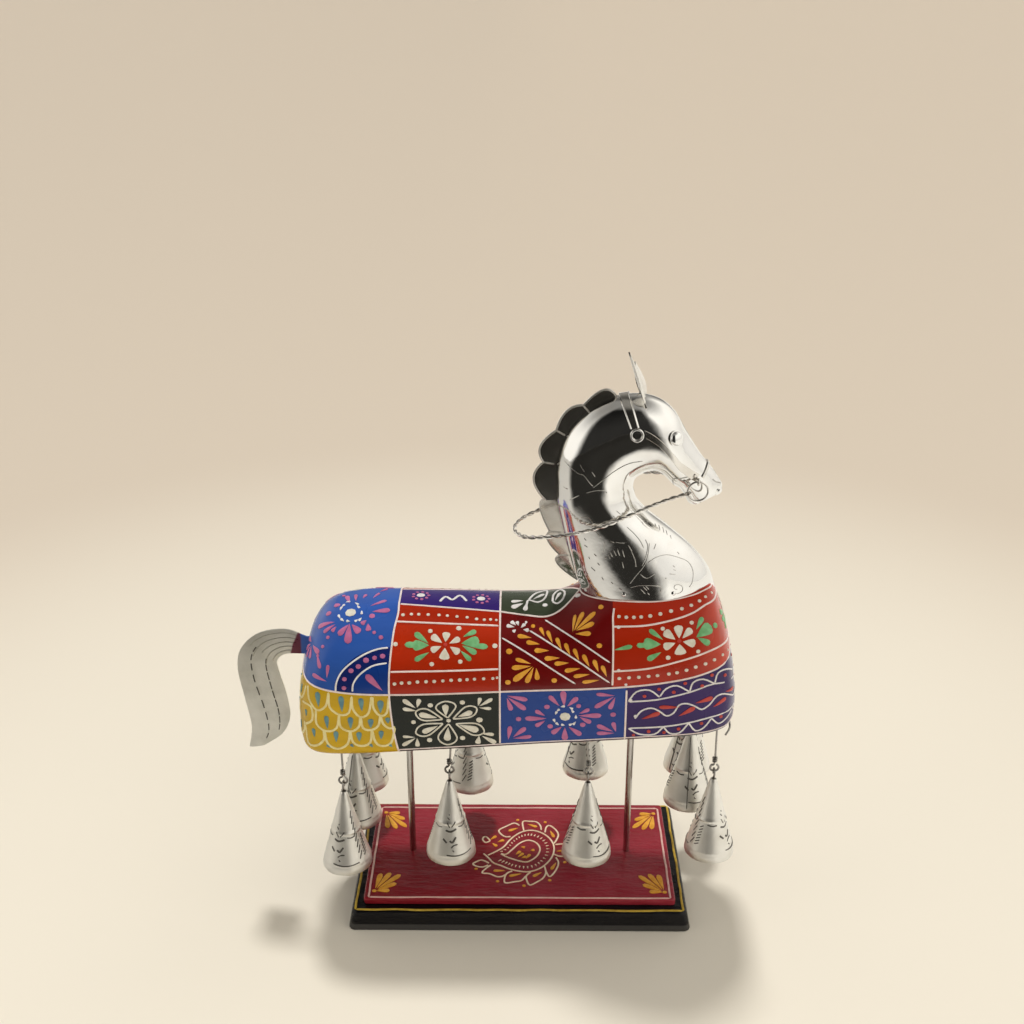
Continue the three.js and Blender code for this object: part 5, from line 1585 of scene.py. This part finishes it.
# Hooks: bent steel wires driven up into the belly, each ending in an eye with its tail wrapped
# round the stem. Links: the same wire with an eye above and a bead inside the bell to carry it.
BELLS = (
    "right_rear", "right_mid_rear", "right_mid_front", "right_front", "left_rear", "left_mid_rear",
    "left_mid_front", "left_front", "rear", "front",
)
EYE_ABOVE_CROWN, LINK_BELOW_EYE, HOOK_EYE, LINK_EYE, LINK_STEM, BEAD = 7.5, 3.1, 2.4, 2.2, 9.0, 1.7
# The wire of one hook has a spare end that sticks out of the belly.
SPARE_END = [(0, 1, 1.5), (0.5, -0.9, -1.5), (0, -1, -4.5), (-1.6, -0.9, -8)]


def eye_path(radius, stem, across, bend=0.0):
    way = 1 if stem > 0 else -1
    places = [(0, stem), (bend, stem * 0.5 + way * radius), (0, way * (radius + 2 * WIRE + FIT))]
    turns = [math.radians(135 + k / 9 * 285) for k in range(10)]
    places += [round_place(0, 0, radius, turn, way) for turn in turns]
    return [(across * off + Vector((0, 0, high))) * MM for off, high in places]


steel_wire = worn_metal("steel_wire", (0.34, 0.32, 0.29), (0.18, 0.16, 0.14), 0.2)
bell_places = {}
for order, name in enumerate(BELLS):
    low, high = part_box("bell_" + name)
    crown = Vector(((low.x + high.x) / 2, (low.y + high.y) / 2, high.z))
    bell_places[name] = crown - Vector((0, 0, high.z - low.z))
    eye_at = crown + at(0, 0, EYE_ABOVE_CROWN)
    hook = bmesh.new()
    shank = (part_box("hook_" + name)[1].z - eye_at.z) / MM
    bent = [eye_at + p for p in eye_path(HOOK_EYE, shank, Vector((1, 0, 0)), math.sin(order * 2.1))]
    tube(hook, capped(smooth_path(bent, 5)), WIRE, 8)
    wrap = [
        eye_at + at(1.1 * math.cos(k * 0.6), 1.1 * math.sin(k * 0.6), HOOK_EYE + 1.2 + k * 0.115)
        for k in range(32)
    ]
    tube(hook, capped(wrap), 0.45, 6)
    if name == "right_front":
        start = sighted(729, 722)
        tube(hook, capped(smooth_path([start + at(*p) for p in SPARE_END])), WIRE, 8)
    piece("belly_hook_" + name, hook, steel_wire, nodes=["hook_" + name])
    link_at = eye_at - at(0, 0, LINK_BELOW_EYE)
    link = bmesh.new()
    bent = [link_at + p for p in eye_path(LINK_EYE, -LINK_STEM, Vector((0, 1, 0)))]
    tube(link, capped(smooth_path(bent, 5)), WIRE, 8)
    ball = bmesh.ops.create_uvsphere(link, u_segments=16, v_segments=10, radius=BEAD * MM)
    bmesh.ops.translate(link, vec=link_at - at(0, 0, LINK_STEM), verts=ball["verts"])
    piece("bell_link_" + name, link, steel_wire, "bell_" + name, ["link_" + name])


# Bells: cones rolled from thin plated sheet, with a seam down the back, a swaged ring at half
# height, a narrow lip and hand-cut marks. They ring against each other and have no clapper.
BELL_OUTSIDE = [
    (0.9, 49), (1.5, 49), (2.05, 48.3), (2.4, 47), (3.4, 43.3), (7.75, 26.4), (8.2, 25.3),
    (8.55, 24.8), (8.6, 24.2), (8.45, 23.7), (8.6, 23.1), (13.35, 6.2), (13.75, 5.3), (13.7, 4.8),
    (14.0, 4.2), (14.4, 0.25), (14.3, 0),
]
BELL_INSIDE = [(13.8, 0), (13.3, 4.6), (8, 23), (1.9, 46.5), (0.9, 48.4)]


def bell_radius(height):
    for (r1, h1), (r2, h2) in zip(BELL_OUTSIDE[3:], BELL_OUTSIDE[4:]):
        if h2 <= height <= h1 and h1 > h2:
            return r1 + (r2 - r1) * (h1 - height) / (h1 - h2)
    return BELL_OUTSIDE[3][0]


def on_bell(point):
    height = point.z / MM
    radial = Vector((point.x, point.y, 0)).normalized()
    place = radial * bell_radius(height) * MM + Vector((0, 0, point.z))
    return place, (radial + Vector((0, 0, 0.27))).normalized()


def bell_spot(angle, height):
    turn = math.radians(angle)
    return at(math.sin(turn) * bell_radius(height), -math.cos(turn) * bell_radius(height), height)


# Each mark as angle and height of its points, the angle from the front of the bell.
FRONT_MARKS = [
    [(-7, 30.4), (-3, 29.8)], [(-13, 28.6), (-4, 27)], [(-14, 25.6), (-3, 22.4)],
    [(3, 22.6), (21, 26)], [(0, 10.8), (9, 12.2), (20, 12.5)], [(4, 9.4), (8, 8.4)],
    [(-12, 6.6), (10, 6), (35, 6.1), (60, 6.7)],
]
FRONT_MARKS += [[(68 + k, 38 - 3.6 * k), (56 + k, 33.4 - 3.6 * k)] for k in range(8)]
FRONT_MARKS += [[(84 - k, 20 - 1.8 * k), (98 - k, 21.6 - 1.8 * k)] for k in range(7)]
FRONT_MARKS += [[(-70, 22.6), (-50, 22), (-32, 22.4)], [(30, 22.5), (45, 22.1), (62, 22.6)]]
HEAVY_MARKS = [
    [(-19, 21), (0, 20.2), (22, 21.6)], [(-25, 16), (-12, 13.6)], [(-4, 15), (5, 14), (17, 17)],
]

bell_nickel = worn_metal("bell_nickel", (0.82, 0.79, 0.72), (0.7, 0.665, 0.585), 0.34, dents=0.0002)
for order, name in enumerate(BELLS):
    turned_by = Matrix.Rotation(math.radians(order * 23 - 20), 4, "Z")
    place = Matrix.Translation(bell_places[name]) @ turned_by
    bell = bmesh.new()
    turned(bell, BELL_OUTSIDE + BELL_INSIDE + BELL_OUTSIDE[:1], Matrix.Identity(4), 56)
    for vert in bell.verts:
        out = vert.co.xy.normalized()
        dent = noise.noise(vert.co * 140 + Vector((order * 7.3, 0, 0))) * 0.3
        vert.co += at(out.x, out.y, 0) * dent * min(1, vert.co.xy.length / 0.006)
    bmesh.ops.transform(bell, matrix=place, verts=bell.verts)
    piece("cone_" + name, bell, bell_nickel, "bell_" + name, ["bell_" + name])
    marks = bmesh.new()
    for turn in (0, 180):
        for half, groups in ((0.36, FRONT_MARKS), (0.6, HEAVY_MARKS)):
            for points in groups:
                path = [bell_spot(angle + turn, height) for angle, height in points]
                line(marks, path, half, on_bell, 0.28, fine=3)
    seam = [bell_spot(165, 46 - k * 4.4) for k in range(11)]
    line(marks, seam, 0.35, on_bell, 0.3, fine=1)
    bmesh.ops.transform(marks, matrix=place, verts=marks.verts)
    piece("cone_marks_" + name, marks, punch_mark, "bell_" + name)


# Studio: a wide pale floor in a soft tent that glows on the left and the right and is dark where
# the viewer stands, a soft light from above and behind that throws the shadow forwards, and a fill.
floor_mesh = bmesh.new()
bmesh.ops.create_circle(floor_mesh, cap_ends=True, segments=96, radius=14)
floor_paint, place = finish("floor_paint")
across, deep, _ = place.axes()
# The floor is painted lighter near the object and darker farther off: a painted pool of light.
spread = (across * across + deep * deep).between(0.05, 0.6)
coat(floor_paint, {
    "Base Color": spread.pick((0.8, 0.735, 0.615), (0.65, 0.56, 0.45)),
    "Roughness": 0.9,
})
placed("floor", floor_mesh, floor_paint)

# Reflector on the floor: a ring of card, pale at the sides and dark towards the viewer, that only
# the metal reflects.
reflector_mesh = bmesh.new()
for radius in (0.14, 13.5):
    bmesh.ops.create_circle(reflector_mesh, segments=96, radius=radius)
bmesh.ops.translate(reflector_mesh, vec=at(0, 0, 4), verts=reflector_mesh.verts)
bmesh.ops.bridge_loops(reflector_mesh, edges=reflector_mesh.edges[:])
reflector_card, place = finish("reflector_card")
across, deep, _ = place.axes()
away = (across * across + deep * deep).math("SQRT")
to_viewer = ((across * -0.3 - deep * 0.954) / away).between(0.63, 0.83)
pale = across.between(-0.3, 0.3).pick((0.57, 0.55, 0.51), (0.93, 0.91, 0.86))
coat(reflector_card, {
    "Base Color": (to_viewer * away.between(0.28, 0.5)).pick(pale, (0.02, 0.019, 0.017)),
    "Roughness": 0.9,
    "Specular IOR Level": 0,
})
reflector = placed("reflector", reflector_mesh, reflector_card)
reflector.visible_camera = reflector.visible_diffuse = reflector.visible_shadow = False

world = bpy.data.worlds.new("tent")
bpy.context.scene.world = world
world.use_nodes = True
tent = world.node_tree
towards = Shade(tent, tent.nodes.new("ShaderNodeTexCoord").outputs["Generated"])
across, deep, high = towards.axes()
level_part = (1.003 - high * high).math("SQRT")
to_viewer = ((across * -0.29 - deep * 0.957) / level_part).between(0.67, 0.87)
to_back = (deep / level_part).between(0.72, 0.97)
left_glow = 1.12 - high.between(0.25, 0.9) * 0.85
right_glow = high.between(-0.1, 0.5) * 0.35 - high.between(0.65, 1) * 0.95 + 0.85
glow = left_glow + across.between(-0.3, 0.3) * (right_glow - left_glow)
glow = glow * (1 - to_viewer * (1 - high.between(0.8, 0.97)) * 0.975) * (1 - to_back * 0.7)
feed(tent, tent.nodes["Background"], {"Color": (1, 0.965, 0.9, 1), "Strength": glow})


def lamp(name, kind, energy, aim):
    made = bpy.data.objects.new(name, bpy.data.lights.new(name, kind))
    made.data.energy = energy
    made.rotation_euler = aim.to_track_quat("-Z", "Y").to_euler()
    made.visible_glossy = False
    bpy.context.collection.objects.link(made)
    return made


back_light = lamp("back_light", "SUN", 1.8, Vector((0.07, -0.36, -0.93)))
back_light.data.angle = math.radians(7)
fill_light = lamp("fill_light", "AREA", 9, Vector((0.3, 1.6, -1.13)))
fill_light.location = (-0.3, -1.6, 1.3)
fill_light.data.shape = "DISK"
fill_light.data.size = 1.2

view = bpy.data.cameras.new("view")
view.sensor_width = 36
view.lens = view.sensor_width * VIEW_REACH / (2 * VIEW_MIDDLE)
view.clip_end = 50
camera = bpy.data.objects.new("view", view)
camera.location = VIEW_POINT
camera.rotation_euler = VIEW_TURN
bpy.context.collection.objects.link(camera)
bpy.context.scene.camera = camera
bpy.context.scene.view_settings.view_transform = "Standard"

bpy.context.view_layer.update()
